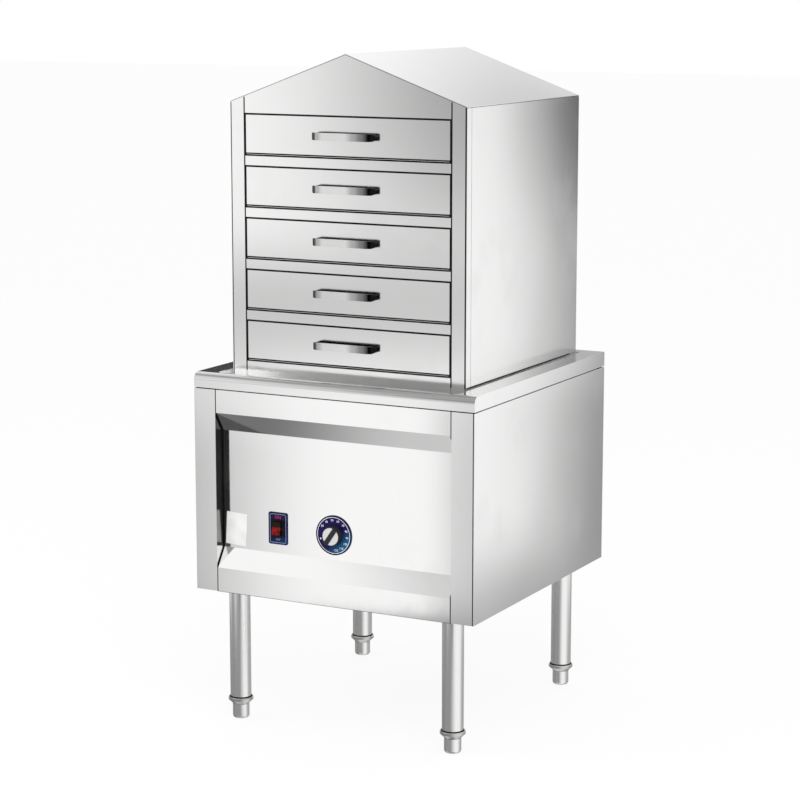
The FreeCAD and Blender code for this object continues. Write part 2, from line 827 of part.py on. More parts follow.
def draw_bent_path(drawing, corners, radius):
    """Right-angled path of three runs with two quarter bends, in the order run, bend, run."""
    (y0, z0), (y1, z1), (y2, z2), (y3, z3) = corners
    ends = [(y0, z0), (y1 - radius, z0), (y1, z0 + radius), (y1, z2 - radius), (y1 + radius, z2),
            (y3, z2)]
    centres = [(y1 - radius, z0 + radius), (y1 + radius, z2 - radius)]
    vectors = [FreeCAD.Vector(y.number, z.number, 0) for y, z in ends]
    first = drawing.addGeometry(Part.LineSegment(vectors[0], vectors[1]), False)
    lower = drawing.addGeometry(Part.ArcOfCircle(Part.Circle(
        FreeCAD.Vector(centres[0][0].number, centres[0][1].number, 0), Z, radius.number),
        -math.pi / 2, 0), False)
    rise = drawing.addGeometry(Part.LineSegment(vectors[2], vectors[3]), False)
    upper = drawing.addGeometry(Part.ArcOfCircle(Part.Circle(
        FreeCAD.Vector(centres[1][0].number, centres[1][1].number, 0), Z, radius.number),
        math.pi / 2, math.pi), False)
    last = drawing.addGeometry(Part.LineSegment(vectors[4], vectors[5]), False)
    for one, one_end, other, other_end in ((first, 2, lower, 1), (lower, 2, rise, 1),
                                           (rise, 2, upper, 2), (upper, 1, last, 1)):
        drawing.addConstraint(Sketcher.Constraint("Coincident", one, one_end, other, other_end))
    pin_point(drawing, first, 1, *ends[0])
    pin_point(drawing, first, 2, *ends[1])
    pin_point(drawing, rise, 1, *ends[2])
    pin_point(drawing, rise, 2, *ends[3])
    pin_point(drawing, last, 1, *ends[4])
    pin_point(drawing, last, 2, *ends[5])
    pin_point(drawing, lower, 3, x=centres[0][0])
    pin_point(drawing, upper, 3, x=centres[1][0])


def make_dial():
    """Round scale plate with a raised rim, and the knob with its grip bar."""
    plate = new_body("dial_plate")
    profile = new_sketch(plate, "XZ_Plane")
    bore = s.bushing_radius + s.fit_gap
    floor = s.dial_thickness / 2
    rim = s.dial_radius - s.dial_rim
    draw_outline(profile, [(bore, 0), (s.dial_radius, 0), (s.dial_radius, floor),
                           (s.dial_radius - s.dial_rim / 2, s.dial_thickness),
                           (rim, s.dial_thickness), (rim - floor, floor), (bore, floor)])
    revolve(plate, profile)
    turned_to_front(plate, -s.dial_left, panel_plane, control_z)
    node("dial_plate", plate)

    knob = new_body("dial_knob")
    profile = new_sketch(knob, "XZ_Plane")
    bore = s.shaft_radius + s.shaft_clearance
    depth = s.knob_height / 2
    draw_outline(profile, [(bore, 0), (s.knob_radius, 0),
                           (s.knob_radius - s.knob_taper / 2, s.knob_height - s.knob_taper),
                           (s.knob_radius - s.knob_taper * 1.5, s.knob_height),
                           (0, s.knob_height), (0, depth), (bore, depth)])
    revolve(knob, profile)
    grip = new_sketch(knob, "XY_Plane", offset=s.knob_height)
    draw_rectangle(grip, -s.grip_width / 2, -s.knob_radius + s.knob_taper, s.grip_width / 2,
                   s.knob_radius - s.knob_taper)
    pad(knob, grip, s.grip_height)
    front = FreeCAD.Rotation(X, 90)
    knob.Placement = FreeCAD.Placement(
        FreeCAD.Vector(), FreeCAD.Rotation(Y, s.grip_angle.number).multiply(front))
    place(knob, -s.dial_left, panel_plane - s.dial_thickness - s.fit_gap, control_z)
    node("dial_knob", knob)


def make_switch():
    """Plate, housing with an open well, and the rocker that tilts on two pivots in it."""
    plate = new_body("switch_plate")
    drawing = new_sketch(plate, "XZ_Plane")
    draw_rectangle(drawing, -s.plate_width / 2, -s.plate_height / 2, s.plate_width / 2,
                   s.plate_height / 2)
    hole_x, hole_z = switch_neck_x + s.fit_gap, switch_neck_z + s.fit_gap
    draw_rectangle(drawing, -hole_x, -hole_z, hole_x, hole_z)
    pad(plate, drawing, s.plate_thickness)
    corners = [{"x": x, "z": z} for x in (-s.plate_width / 2, s.plate_width / 2)
               for z in (-s.plate_height / 2, s.plate_height / 2)]
    fillet(plate, Y, corners, s.plate_corner, 4)
    place(plate, -s.switch_left, panel_plane, control_z)
    node("switch_plate", plate)

    housing = new_body("switch_housing")
    bezel = new_sketch(housing, "XZ_Plane")
    draw_rectangle(bezel, -s.bezel_width / 2, -s.bezel_height / 2, s.bezel_width / 2,
                   s.bezel_height / 2)
    pad(housing, bezel, s.bezel_proud)
    neck = new_sketch(housing, "XZ_Plane")
    draw_rectangle(neck, -switch_neck_x, -switch_neck_z, switch_neck_x, switch_neck_z)
    pad(housing, neck, s.housing_depth, backwards=True)
    well = new_sketch(housing, "XZ_Plane", offset=s.bezel_proud)
    well_x = s.rocker_width / 2 + s.fit_gap
    well_z = s.rocker_radius + s.fit_gap
    draw_rectangle(well, -well_x, -well_z, well_x, well_z)
    pocket(housing, well, length=s.bezel_proud + s.rocker_radius + s.fit_gap)
    bores = new_sketch(housing, "YZ_Plane")
    draw_circle(bores, 0, 0, s.pivot_radius + s.shaft_clearance)
    pocket(housing, bores, length=(s.rocker_width / 2 + s.pivot_reach + s.fit_gap) * 2,
           both_ways=True)
    place(housing, -s.switch_left, panel_plane - s.plate_thickness, control_z)
    node("switch_housing", housing)

    profile = new_body("rocker_profile")
    drawing = new_sketch(profile, "YZ_Plane")
    nose = -s.rocker_nose - s.rocker_valley
    reach = s.rocker_radius
    draw_outline(drawing, [(nose, -reach), (-s.rocker_nose, 0), (nose, reach),
                           (s.rocker_radius / 3, reach), (s.rocker_radius / 3, -reach)])
    pad(profile, drawing, s.rocker_width, both_ways=True)
    drum = doc.addObject("Part::Cylinder", "rocker_drum")
    bind(drum, "Radius", s.rocker_radius)
    bind(drum, "Height", s.rocker_width)
    drum.Placement = FreeCAD.Placement(FreeCAD.Vector(), FreeCAD.Rotation(Y, 90))
    place(drum, x=-s.rocker_width / 2)
    shaped = doc.addObject("Part::Common", "rocker_shape")
    shaped.Base, shaped.Tool = profile, drum
    pivots = doc.addObject("Part::Cylinder", "rocker_pivots")
    span = s.rocker_width + s.pivot_reach * 2
    bind(pivots, "Radius", s.pivot_radius)
    bind(pivots, "Height", span)
    pivots.Placement = FreeCAD.Placement(FreeCAD.Vector(), FreeCAD.Rotation(Y, 90))
    place(pivots, x=-span / 2)
    rocker = doc.addObject("Part::Fuse", "switch_rocker")
    rocker.Base, rocker.Tool = shaped, pivots
    rocker.Placement = FreeCAD.Placement(
        FreeCAD.Vector(), FreeCAD.Rotation(X, -s.rocker_tilt.number))
    place(rocker, -s.switch_left, panel_plane - s.plate_thickness, control_z)
    node("switch_rocker", rocker)


# ---- electrics, cable gland and drain ----------------------------------------------------------

def make_contactor():
    """Power contactor on the floor pan: a deep foot with a narrower coil block on top."""
    body = new_body("contactor")
    foot = new_sketch(body, "XY_Plane")
    width, length = s.contactor_width / 2, s.contactor_length / 2
    draw_rectangle(foot, -width, -length, width, length)
    pad(body, foot, s.contactor_foot)
    coil = new_sketch(body, "XY_Plane")
    draw_rectangle(coil, -width, -s.contactor_coil / 2, width, s.contactor_coil / 2)
    pad(body, coil, s.contactor_height)
    slots = new_sketch(body, "XY_Plane", offset=s.contactor_foot)
    for column in (-1, 0, 1):
        middle = s.contactor_width / 3 * column
        left, right = middle - s.contactor_slot / 2, middle + s.contactor_slot / 2
        draw_rectangle(slots, left, length - s.contactor_slot, right, s.contactor_length)
        draw_rectangle(slots, left, -s.contactor_length, right, s.contactor_slot - length)
    pocket(body, slots, length=s.contactor_slot_depth)
    place(body, x=s.contactor_width * 2, y=tank_front_y + s.contactor_length,
          z=underside + s.casing_sheet)
    node("contactor", body)


def make_terminal_block():
    """Mains terminal block with open wire slots."""
    body = new_body("terminal_block")
    drawing = new_sketch(body, "XY_Plane")
    width, depth = s.terminal_width / 2, s.terminal_depth / 2
    draw_rectangle(drawing, -width, -depth, width, depth)
    pad(body, drawing, s.terminal_height)
    slots = new_sketch(body, "XY_Plane", offset=s.terminal_height)
    for way in range(TERMINAL_WAYS):
        middle = s.terminal_width * ((way + 0.5) / TERMINAL_WAYS - 0.5)
        draw_rectangle(slots, middle - s.terminal_slot / 2, -s.terminal_depth,
                       middle + s.terminal_slot / 2, s.terminal_depth)
    pocket(body, slots, length=s.terminal_slot_depth)
    place(body, x=-s.gland_left + s.terminal_width / 2, y=gland_back - s.terminal_depth * 1.5,
          z=underside + s.casing_sheet)
    node("terminal_block", body)


def make_cable_gland():
    """Domed cable gland through the floor pan, its mouth facing down."""
    body = new_body("cable_gland")
    profile = new_sketch(body, "XZ_Plane")
    top = s.casing_sheet + s.gland_flange
    draw_outline(profile, [
        (s.gland_bore, top), (s.gland_dome, top), (s.gland_dome, -s.fit_gap),
        (s.gland_radius, -s.fit_gap), (s.gland_radius, -s.gland_flange),
        (s.gland_dome, -s.gland_flange - s.gland_shoulder),
        (s.gland_dome, s.gland_tip - s.gland_length),
        (s.gland_mouth, -s.gland_length), (s.gland_bore, -s.gland_length)])
    revolve(body, profile)
    place(body, x=-s.gland_left, y=gland_back, z=underside)
    node("cable_gland", body)


def make_drain():
    """Drain pipe under the tank, ball valve below the floor pan, and its lever."""
    pipe = new_body("drain_pipe")
    section = new_sketch(pipe, "XY_Plane")
    draw_circle(section, 0, 0, s.drain_radius)
    draw_circle(section, 0, 0, s.drain_radius - s.drain_wall)
    valve_top = underside - s.fit_gap * 10
    pad(pipe, section, tank_bottom - s.fit_gap - valve_top)
    place(pipe, x=-s.drain_left, y=s.drain_back, z=valve_top)
    node("drain_pipe", pipe)

    valve = new_body("drain_valve_body")
    half = s.valve_length / 2
    bore = s.drain_radius - s.drain_wall
    end = s.drain_radius + s.drain_wall
    profile = new_sketch(valve, "XZ_Plane")
    draw_outline(profile, [
        (bore, half), (end, half), (end, half - s.valve_collar),
        (s.valve_radius, s.valve_belly), (s.valve_radius, -s.valve_belly),
        (end, s.valve_collar - half), (end, -half),
        (s.drain_radius, -half), (s.drain_radius, -half - s.spout_length),
        (bore, -half - s.spout_length)])
    revolve(valve, profile)
    boss = new_sketch(valve, "XZ_Plane", offset=bore + s.fit_gap * 2)
    draw_circle(boss, 0, 0, s.stem_radius + s.drain_wall)
    pad(valve, boss, s.valve_radius - bore + s.drain_wall)
    stem_hole = new_sketch(valve, "XZ_Plane", offset=s.valve_radius * 2)
    draw_circle(stem_hole, 0, 0, s.stem_radius + s.shaft_clearance)
    pocket(valve, stem_hole, length=s.valve_radius * 2 - bore / 2)
    valve_z = valve_top - half
    place(valve, x=-s.drain_left, y=s.drain_back, z=valve_z)
    node("drain_valve_body", valve)

    lever = new_body("drain_valve_lever")
    boss_face = s.valve_radius + s.drain_wall + s.fit_gap * 3
    stem = new_sketch(lever, "XZ_Plane", offset=bore + s.fit_gap)
    draw_circle(stem, 0, 0, s.stem_radius)
    pad(lever, stem, boss_face - bore + s.lever_sheet)
    blade = new_sketch(lever, "XZ_Plane", offset=boss_face)
    draw_rectangle(blade, -s.lever_length, -s.lever_width / 2, s.lever_width / 2,
                   s.lever_width / 2)
    pad(lever, blade, s.lever_sheet)
    ends = [{"x": -s.lever_length, "z": z} for z in (-s.lever_width / 2, s.lever_width / 2)]
    fillet(lever, Y, ends, s.lever_width / 2.5, 2)
    place(lever, x=-s.drain_left, y=s.drain_back, z=valve_z)
    node("drain_valve_lever", lever)


# ---- legs ------------------------------------------------------------------------------------

def rounded_rim(body, radius, height, rounding):
    """Round the circular edge of a turned piece at a radius and height."""
    doc.recompute()
    base = body.Tip
    names = [f"Edge{index}" for index, edge in enumerate(base.Shape.Edges, start=1)
             if isinstance(edge.Curve, Part.Circle)
             and abs(edge.Curve.Radius - as_size(radius).number) < 1e-4
             and abs(edge.Curve.Center.z - as_size(height).number) < 1e-4]
    feature = body.newObject("PartDesign::Fillet", body.Name + "_fillet")
    feature.Base = (base, names)
    bind(feature, "Radius", rounding)
    return feature


def make_legs():
    """Tube legs in welded sockets, each closed by a collar that carries a screw foot."""
    sockets = []
    collars = []
    bore = s.stem_thread + s.shaft_clearance
    plug = s.leg_radius - s.leg_wall - s.fit_gap
    for name, (x, y) in leg_places().items():
        leg = new_body(f"leg_{name}")
        section = new_sketch(leg, "XY_Plane")
        draw_circle(section, 0, 0, s.leg_radius)
        draw_circle(section, 0, 0, s.leg_radius - s.leg_wall)
        leg_bottom = s.foot_height + s.collar_height
        pad(leg, section, underside + s.socket_height - leg_bottom)
        place(leg, x, y, leg_bottom)
        node(f"leg_{name}", leg)

        socket = new_body(f"socket_{name}")
        section = new_sketch(socket, "XY_Plane")
        draw_circle(section, 0, 0, s.leg_radius + s.fit_gap + s.socket_wall)
        draw_circle(section, 0, 0, s.leg_radius + s.fit_gap)
        pad(socket, section, s.socket_height - s.casing_sheet)
        place(socket, x, y, underside + s.casing_sheet)
        sockets.append(socket)

        collar = new_body(f"collar_{name}")
        profile = new_sketch(collar, "XZ_Plane")
        taper = s.collar_height - s.collar_band
        chamfer = s.leg_wall
        draw_outline(profile, [
            (bore, 0), (s.foot_radius, 0), (s.collar_radius, taper),
            (s.collar_radius, s.collar_height - chamfer),
            (s.collar_radius - chamfer, s.collar_height), (plug, s.collar_height),
            (plug, s.collar_height + s.plug_height), (bore, s.collar_height + s.plug_height)])
        revolve(collar, profile)
        place(collar, x, y, s.foot_height)
        collars.append(collar)

        foot = new_body(f"foot_{name}")
        profile = new_sketch(foot, "XZ_Plane")
        top = s.foot_height - s.fit_gap
        draw_outline(profile, [(0, 0), (s.foot_radius, 0), (s.foot_radius, top),
                               (s.stem_thread, top), (s.stem_thread, top + s.stem_length),
                               (0, top + s.stem_length)])
        revolve(foot, profile)
        rounded_rim(foot, s.foot_radius, 0, s.foot_round)
        place(foot, x, y)
        node(f"foot_{name}", foot)
    compound("leg_sockets", sockets)
    compound("leg_collars", collars)


# ---- steam cabinet ---------------------------------------------------------------------------

def under_roof(x):
    """Height above the cabinet's lower edge of what ends just below the roof sheet at x."""
    return roof_height(x) - roof_drop - s.hairline - cabinet_bottom


def make_cabinet_post(name, side):
    """Channel beside the drawers, cut off along the roof slope."""
    body = new_body(name)
    wall = s.casing_sheet
    depth = s.stile_depth
    drawing = new_sketch(body, "XY_Plane")
    corners = [(stile_inner, depth), (stile_inner, 0), (stile_outer, 0), (stile_outer, depth),
               (stile_outer - wall, depth), (stile_outer - wall, wall),
               (stile_inner + wall, wall), (stile_inner + wall, depth)]
    draw_outline(drawing, [(x * side, y) for x, y in corners])
    top = under_roof(stile_inner)
    pad(body, drawing, top)
    slope = new_sketch(body, "XZ_Plane")
    clear = s.stile_depth
    corners = [(stile_inner, top), (stile_outer, under_roof(stile_outer)),
               (stile_outer + clear, under_roof(stile_outer)),
               (stile_outer + clear, top + clear), (stile_inner, top + clear)]
    draw_outline(slope, [(x * side, z) for x, z in corners])
    pocket(body, slope, both_ways=True)
    place(body, y=cabinet_front_y, z=cabinet_bottom)
    node(name, body)


def make_cabinet_side(name, side):
    """Side sheet with a front hem, a rear screw flange and folded lower and upper edges."""
    body = new_body(name)
    wall = s.casing_sheet
    inner = cabinet_half - wall
    front = -s.cabinet_depth / 2
    rear = s.cabinet_depth / 2
    flange_outer = rear - wall - s.fit_gap
    height = under_roof(cabinet_half)
    drawing = new_sketch(body, "XY_Plane")
    corners = [(cabinet_half, front), (cabinet_half, rear), (inner, rear), (inner, flange_outer),
               (inner - s.cabinet_flange, flange_outer),
               (inner - s.cabinet_flange, flange_outer - wall), (inner, flange_outer - wall),
               (inner, front)]
    draw_outline(drawing, [(x * side, y) for x, y in corners])
    pad(body, drawing, height)
    folds = new_sketch(body, "XZ_Plane")
    tip = inner - s.cabinet_flange
    for low in (as_size(0), height - wall):
        corners = [(tip, low), (inner, low), (inner, low + wall), (tip, low + wall)]
        draw_outline(folds, [(x * side, z) for x, z in corners])
    pad(body, folds, s.cabinet_depth - (s.stile_depth + wall) * 2, both_ways=True)
    groove = new_sketch(body, "XY_Plane")
    hem = front + s.hem_width
    corners = [(cabinet_half - s.hem_groove, hem), (cabinet_half + wall, hem),
               (cabinet_half + wall, hem + s.hem_groove * 2),
               (cabinet_half - s.hem_groove, hem + s.hem_groove * 2)]
    draw_outline(groove, [(x * side, y) for x, y in corners])
    pocket(body, groove, both_ways=True)
    place(body, y=cabinet_front_y + s.cabinet_depth / 2, z=cabinet_bottom)
    node(name, body)


def make_cabinet_rear():
    """Rear sheet with its gable end in one piece."""
    body = new_body("cabinet_rear_panel")
    width = cabinet_half - s.casing_sheet - s.fit_gap
    drawing = new_sketch(body, "XZ_Plane")
    draw_outline(drawing, [(-width, 0), (width, 0), (width, under_roof(width)),
                           (0, under_roof(as_size(0))), (-width, under_roof(width))])
    pad(body, drawing, s.casing_sheet)
    place(body, y=cabinet_rear_y, z=cabinet_bottom)
    node("cabinet_rear_panel", body)


def make_gable_front():
    """Gable sheet between the posts, with its lower edge folded inwards over the top drawer."""
    body = new_body("gable_front")
    low = opening_bottom(1) + s.opening_height - cabinet_bottom
    drawing = new_sketch(body, "XZ_Plane")
    draw_outline(drawing, [(-frame_half, low), (frame_half, low),
                           (frame_half, under_roof(frame_half)), (0, under_roof(as_size(0))),
                           (-frame_half, under_roof(frame_half))])
    pad(body, drawing, s.casing_sheet, backwards=True)
    fold = new_sketch(body, "XZ_Plane")
    draw_rectangle(fold, -frame_half, low, frame_half, low + s.casing_sheet)
    pad(body, fold, s.rail_flange, backwards=True)
    place(body, y=cabinet_front_y, z=cabinet_bottom)
    node("gable_front", body)


def make_roof():
    """One sheet folded along the ridge."""
    body = new_body("roof")
    drawing = new_sketch(body, "XZ_Plane")
    rise = s.gable_height
    draw_outline(drawing, [(-cabinet_half, 0), (-cabinet_half, -roof_drop), (0, rise - roof_drop),
                           (cabinet_half, -roof_drop), (cabinet_half, 0), (0, rise)])
    pad(body, drawing, s.cabinet_depth, backwards=True)
    place(body, y=cabinet_front_y, z=eave_height)
    node("roof", body)


def make_front_rails():
    """Folded rails between the drawer openings, and the deeper one below them."""
    wall = s.casing_sheet
    rails = []
    spans = [(opening_bottom(row + 1) + s.opening_height, opening_bottom(row))
             for row in range(1, DRAWER_COUNT)]
    spans.append((cabinet_bottom, first_opening))
    for number, (low, high) in enumerate(spans, start=1):
        body = new_body(f"rail_{number}")
        height = high - low
        drawing = new_sketch(body, "YZ_Plane")
        draw_outline(drawing, [(0, 0), (s.rail_flange, 0), (s.rail_flange, wall), (wall, wall),
                               (wall, height - wall), (s.rail_flange, height - wall),
                               (s.rail_flange, height), (0, height)])
        pad(body, drawing, frame_half * 2, both_ways=True)
        place(body, y=cabinet_front_y, z=low)
        rails.append(body)
    compound("cabinet_front_rails", rails)


def make_runners():
    """Angle runners along both sides, one pair for each drawer."""
    start = s.stile_depth + s.fit_gap
    length = s.cabinet_depth - start - s.casing_sheet * 2 - s.fit_gap * 2
    outer = cabinet_half - s.casing_sheet
    runners = []
    for row in range(1, DRAWER_COUNT + 1):
        top = opening_bottom(row) + s.tray_rise - s.fit_gap
        for side, sign in SIDES.items():
            body = new_body(f"runner_{row}_{side}")
            drawing = new_sketch(body, "XZ_Plane")
            tip = outer - s.runner_reach
            corners = [(tip, 0), (tip, -s.runner_sheet), (outer, -s.runner_sheet),
                       (outer, s.runner_upstand), (outer - s.runner_sheet, s.runner_upstand),
                       (outer - s.runner_sheet, 0)]
            draw_outline(drawing, [(x * sign, z) for x, z in corners])
            pad(body, drawing, length, backwards=True)
            place(body, y=cabinet_front_y + start, z=top)
            runners.append(body)
    compound("drawer_runners", runners)


# ---- drawers ---------------------------------------------------------------------------------

def make_drawer(row):
    """Hollow front, flat steaming tray behind it, and a bowed strap handle with round ends."""
    low = opening_bottom(row)
    front_low = low + s.gap_bottom
    front_height = s.opening_height - s.gap_bottom - s.gap_top
    front_half = stile_inner - s.gap_side

    front = new_body(f"drawer_{row}_front")
    drawing = new_sketch(front, "XZ_Plane")
    draw_rectangle(drawing, -front_half, 0, front_half, front_height)
    pad(front, drawing, s.front_depth, backwards=True)
    hollow(front, Y, s.casing_sheet)
    place(front, y=cabinet_front_y, z=front_low)
    node(f"drawer_{row}_front", front)

    tray = new_body(f"drawer_{row}_tray")
    drawing = new_sketch(tray, "XY_Plane")
    draw_rectangle(drawing, -s.tray_half, 0, s.tray_half, s.tray_length)
    pad(tray, drawing, s.tray_wall)
    corners = [{"x": x, "y": y} for x in (-s.tray_half, s.tray_half) for y in (0, s.tray_length)]
    fillet(tray, Z, corners, s.tray_corner, 4)
    hollow(tray, Z, s.tray_sheet)
    lips = new_sketch(tray, "XY_Plane", offset=s.tray_wall - s.tray_sheet)
    for sign in SIDES.values():
        corners = [(s.tray_half - s.tray_sheet, s.tray_corner),
                   (s.tray_half + s.tray_lip, s.tray_corner),
                   (s.tray_half + s.tray_lip, s.tray_length - s.tray_corner),
                   (s.tray_half - s.tray_sheet, s.tray_length - s.tray_corner)]
        draw_outline(lips, [(x * sign, y) for x, y in corners])
    pad(tray, lips, s.tray_sheet)
    place(tray, y=cabinet_front_y + s.front_depth, z=low + s.tray_rise)
    node(f"drawer_{row}_tray", tray)

    handle = new_body(f"drawer_{row}_handle")
    drawing = new_sketch(handle, "XY_Plane")
    strap = s.handle_strap
    end = s.handle_length / 2
    reach = s.handle_projection
    draw_outline(drawing, [(-end, 0), (-end, -reach), (end, -reach), (end, 0), (end - strap, 0),
                           (end - strap, strap - reach), (strap - end, strap - reach),
                           (strap - end, 0)])
    pad(handle, drawing, s.handle_height)
    outer_bends = [{"x": end * sign, "y": -reach} for sign in SIDES.values()]
    inner_bends = [{"x": (end - strap) * sign, "y": strap - reach} for sign in SIDES.values()]
    fillet(handle, Z, outer_bends, s.handle_bend + strap, 2)
    fillet(handle, Z, inner_bends, s.handle_bend, 2)
    trim = new_sketch(handle, "XZ_Plane")
    draw_rectangle(trim, -s.handle_length, -s.handle_height, s.handle_length, s.handle_height * 2)
    draw_round_ended(trim, end, s.handle_height)
    pocket(handle, trim, backwards=True)
    middle = low + s.opening_height / 2 + s.handle_raise
    place(handle, y=cabinet_front_y, z=middle - s.handle_height / 2)
    node(f"drawer_{row}_handle", handle)


# ---- assembly --------------------------------------------------------------------------------

for side, sign in SIDES.items():
    make_base_post(f"base_post_{side}", sign)
    make_side_panel(f"side_panel_{side}", sign)
make_rear_panel()
make_bottom_panel()
make_control_panel()
make_deck()
make_water_tank()
make_support_frame()
compound("heater_elements", [make_heater(sign) for sign in SIDES.values()])
make_thermostat()
make_dial()
make_switch()
make_contactor()
make_terminal_block()
make_cable_gland()
make_drain()
make_legs()
for side, sign in SIDES.items():
    make_cabinet_post(f"cabinet_post_{side}", sign)
    make_cabinet_side(f"cabinet_side_{side}", sign)
make_cabinet_rear()
make_gable_front()
make_roof()
make_front_rails()
make_runners()
for row in range(1, DRAWER_COUNT + 1):
    make_drawer(row)
doc.recompute()

for item in doc.Objects:
    if {"Invalid", "Error"} & set(item.State):
        raise RuntimeError(f"{item.Label} failed: {item.State}")
os.makedirs("parts", exist_ok=True)
for name, piece in nodes.items():
    shape = piece.Shape
    if shape.isNull() or not shape.isValid():
        raise RuntimeError(f"{name} has no valid shape")
    shape.exportStep(f"parts/{name}.step")
print(len(nodes), "nodes written")
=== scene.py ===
import math
from collections import namedtuple

import bmesh
import bpy
from mathutils import Matrix, Vector


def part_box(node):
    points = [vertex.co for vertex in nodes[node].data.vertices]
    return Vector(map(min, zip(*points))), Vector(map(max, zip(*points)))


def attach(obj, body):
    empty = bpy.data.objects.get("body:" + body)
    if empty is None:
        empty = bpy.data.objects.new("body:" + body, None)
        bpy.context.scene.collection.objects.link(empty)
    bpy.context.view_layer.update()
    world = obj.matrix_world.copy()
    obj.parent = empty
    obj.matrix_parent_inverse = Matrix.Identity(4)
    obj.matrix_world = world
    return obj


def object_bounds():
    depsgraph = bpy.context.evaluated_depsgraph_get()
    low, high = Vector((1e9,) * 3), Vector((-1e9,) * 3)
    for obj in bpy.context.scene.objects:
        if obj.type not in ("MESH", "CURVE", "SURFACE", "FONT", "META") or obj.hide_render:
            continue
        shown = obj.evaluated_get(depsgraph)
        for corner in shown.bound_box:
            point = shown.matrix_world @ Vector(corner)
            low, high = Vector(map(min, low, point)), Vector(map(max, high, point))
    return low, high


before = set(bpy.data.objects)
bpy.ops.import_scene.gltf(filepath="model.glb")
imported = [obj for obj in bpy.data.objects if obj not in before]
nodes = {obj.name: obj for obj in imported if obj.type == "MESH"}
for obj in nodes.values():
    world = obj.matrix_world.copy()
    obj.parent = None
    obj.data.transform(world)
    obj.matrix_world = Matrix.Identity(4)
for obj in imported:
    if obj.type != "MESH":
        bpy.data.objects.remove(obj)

cad_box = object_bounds()
scene = bpy.context.scene
scene.view_settings.view_transform = "Standard"

MM = 0.001
FRONT = Matrix.Rotation(math.radians(90), 4, "X")       # local XY plane, turned to face -Y
BACK = Matrix.Rotation(math.radians(180), 4, "Z") @ FRONT


def box(name):
    """Lowest and highest corner of a CAD node, in millimetres."""
    low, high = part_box(name)
    return low / MM, high / MM


# ---- camera ------------------------------------------------------------------------------------

CAMERA_PLACE = (2.1411, -4.0861, 1.4388)
CAMERA_DIP = 10.118          # degrees below level
CAMERA_TURN = 27.769         # degrees round from the front towards the right side
CAMERA_SENSOR = 36
CAMERA_LENS = 106.5

camera = bpy.data.objects.new("camera", bpy.data.cameras.new("camera"))
camera.location = CAMERA_PLACE
camera.rotation_euler = (math.radians(90 - CAMERA_DIP), 0, math.radians(CAMERA_TURN))
camera.data.sensor_width = CAMERA_SENSOR
camera.data.lens = CAMERA_LENS
scene.collection.objects.link(camera)
scene.camera = camera


# ---- shader graphs -----------------------------------------------------------------------------

class Graph:
    """A node tree that is written as nested calls; a value may be a number or a socket."""

    def __init__(self, tree):
        self.tree = tree
        tree.nodes.clear()

    def add(self, kind, values=(), out=0, **settings):
        made = self.tree.nodes.new("ShaderNode" + kind)
        for name, setting in settings.items():
            setattr(made, name, setting)
        for key, value in dict(values).items():
            self.put(made.inputs[key], value)
        return made.outputs[out] if len(made.outputs) else None

    def put(self, socket, value):
        if isinstance(value, bpy.types.NodeSocket):
            self.tree.links.new(value, socket)
        elif hasattr(socket.default_value, "__len__") and not hasattr(value, "__len__"):
            socket.default_value = (value, value, value, 1)[:len(socket.default_value)]
        else:
            socket.default_value = value

    def math(self, operation, first, second=0.0, third=0.0):
        return self.add("Math", {0: first, 1: second, 2: third}, operation=operation)

    def map(self, value, low, high, to_low, to_high, smooth=False):
        """Stretches low..high to to_low..to_high and holds the ends."""
        kind = "SMOOTHSTEP" if smooth else "LINEAR"
        return self.add("MapRange", {0: value, 1: low, 2: high, 3: to_low, 4: to_high},
                        interpolation_type=kind)

    def coordinates(self, scale=(1, 1, 1)):
        """The object's own coordinates, in metres."""
        return self.add("Mapping", {"Vector": self.add("TexCoord", out="Object"), "Scale": scale})

    def split(self, vector):
        """Sockets named X, Y and Z."""
        return self.add("SeparateXYZ", {0: vector}).node.outputs

    def noise(self, scale, stretch=(1, 1, 1), detail=3.0, rough=0.5):
        return self.add("TexNoise", {"Vector": self.coordinates(stretch), "Scale": scale,
                                     "Detail": detail, "Roughness": rough})

    def mix(self, factor, first, second, blend="MIX"):
        return self.add("Mix", {0: factor, 6: first, 7: second}, out=2, data_type="RGBA",
                        blend_type=blend)

    def ramp(self, factor, stops):
        """Grey ramp through (position, value) stops."""
        output = self.add("ValToRGB", {"Fac": factor})
        band = output.node.color_ramp
        band.interpolation = "EASE"
        while len(band.elements) < len(stops):
            band.elements.new(0.5)
        for element, (position, value) in zip(band.elements, stops):
            element.position = position
            element.color = (value, value, value, 1)
        return output

    def bump(self, height, strength, distance, normal=None):
        values = {"Height": height, "Strength": strength, "Distance": distance}
        if normal is not None:
            values["Normal"] = normal
        return self.add("Bump", values)


def new_material(name):
    material = bpy.data.materials.new(name)
    material.use_nodes = True
    return material, Graph(material.node_tree)


def finish_material(graph, values):
    """Principled shader with sockets given by name."""
    graph.add("OutputMaterial", {"Surface": graph.add("BsdfPrincipled", values)})


def solid(colour, share=1.0):
    """Colour with its alpha, darkened to a share of its brightness."""
    return tuple(value * share for value in colour) + (1,)


# ---- steel -------------------------------------------------------------------------------------

BRIGHT = (0.935, 0.935, 0.93)
SATIN = (0.88, 0.88, 0.875)
# lighter grey for rubbed edges: wear and a painted highlight
RUBBED_HIGHLIGHT = (0.9, 0.9, 0.9)
# nearly black, painted as shade in seams, corners and gaps
PAINTED_SHADE_BLACK = (0.004, 0.004, 0.004)
# nearly black, painted as shade on the recess's returns and the deck's rolled edge
PAINTED_DARK = (0.01, 0.01, 0.01)
GRAIN_ALONG, GRAIN_ACROSS = 6, 900        # how fine the noise of the grain is, per metre


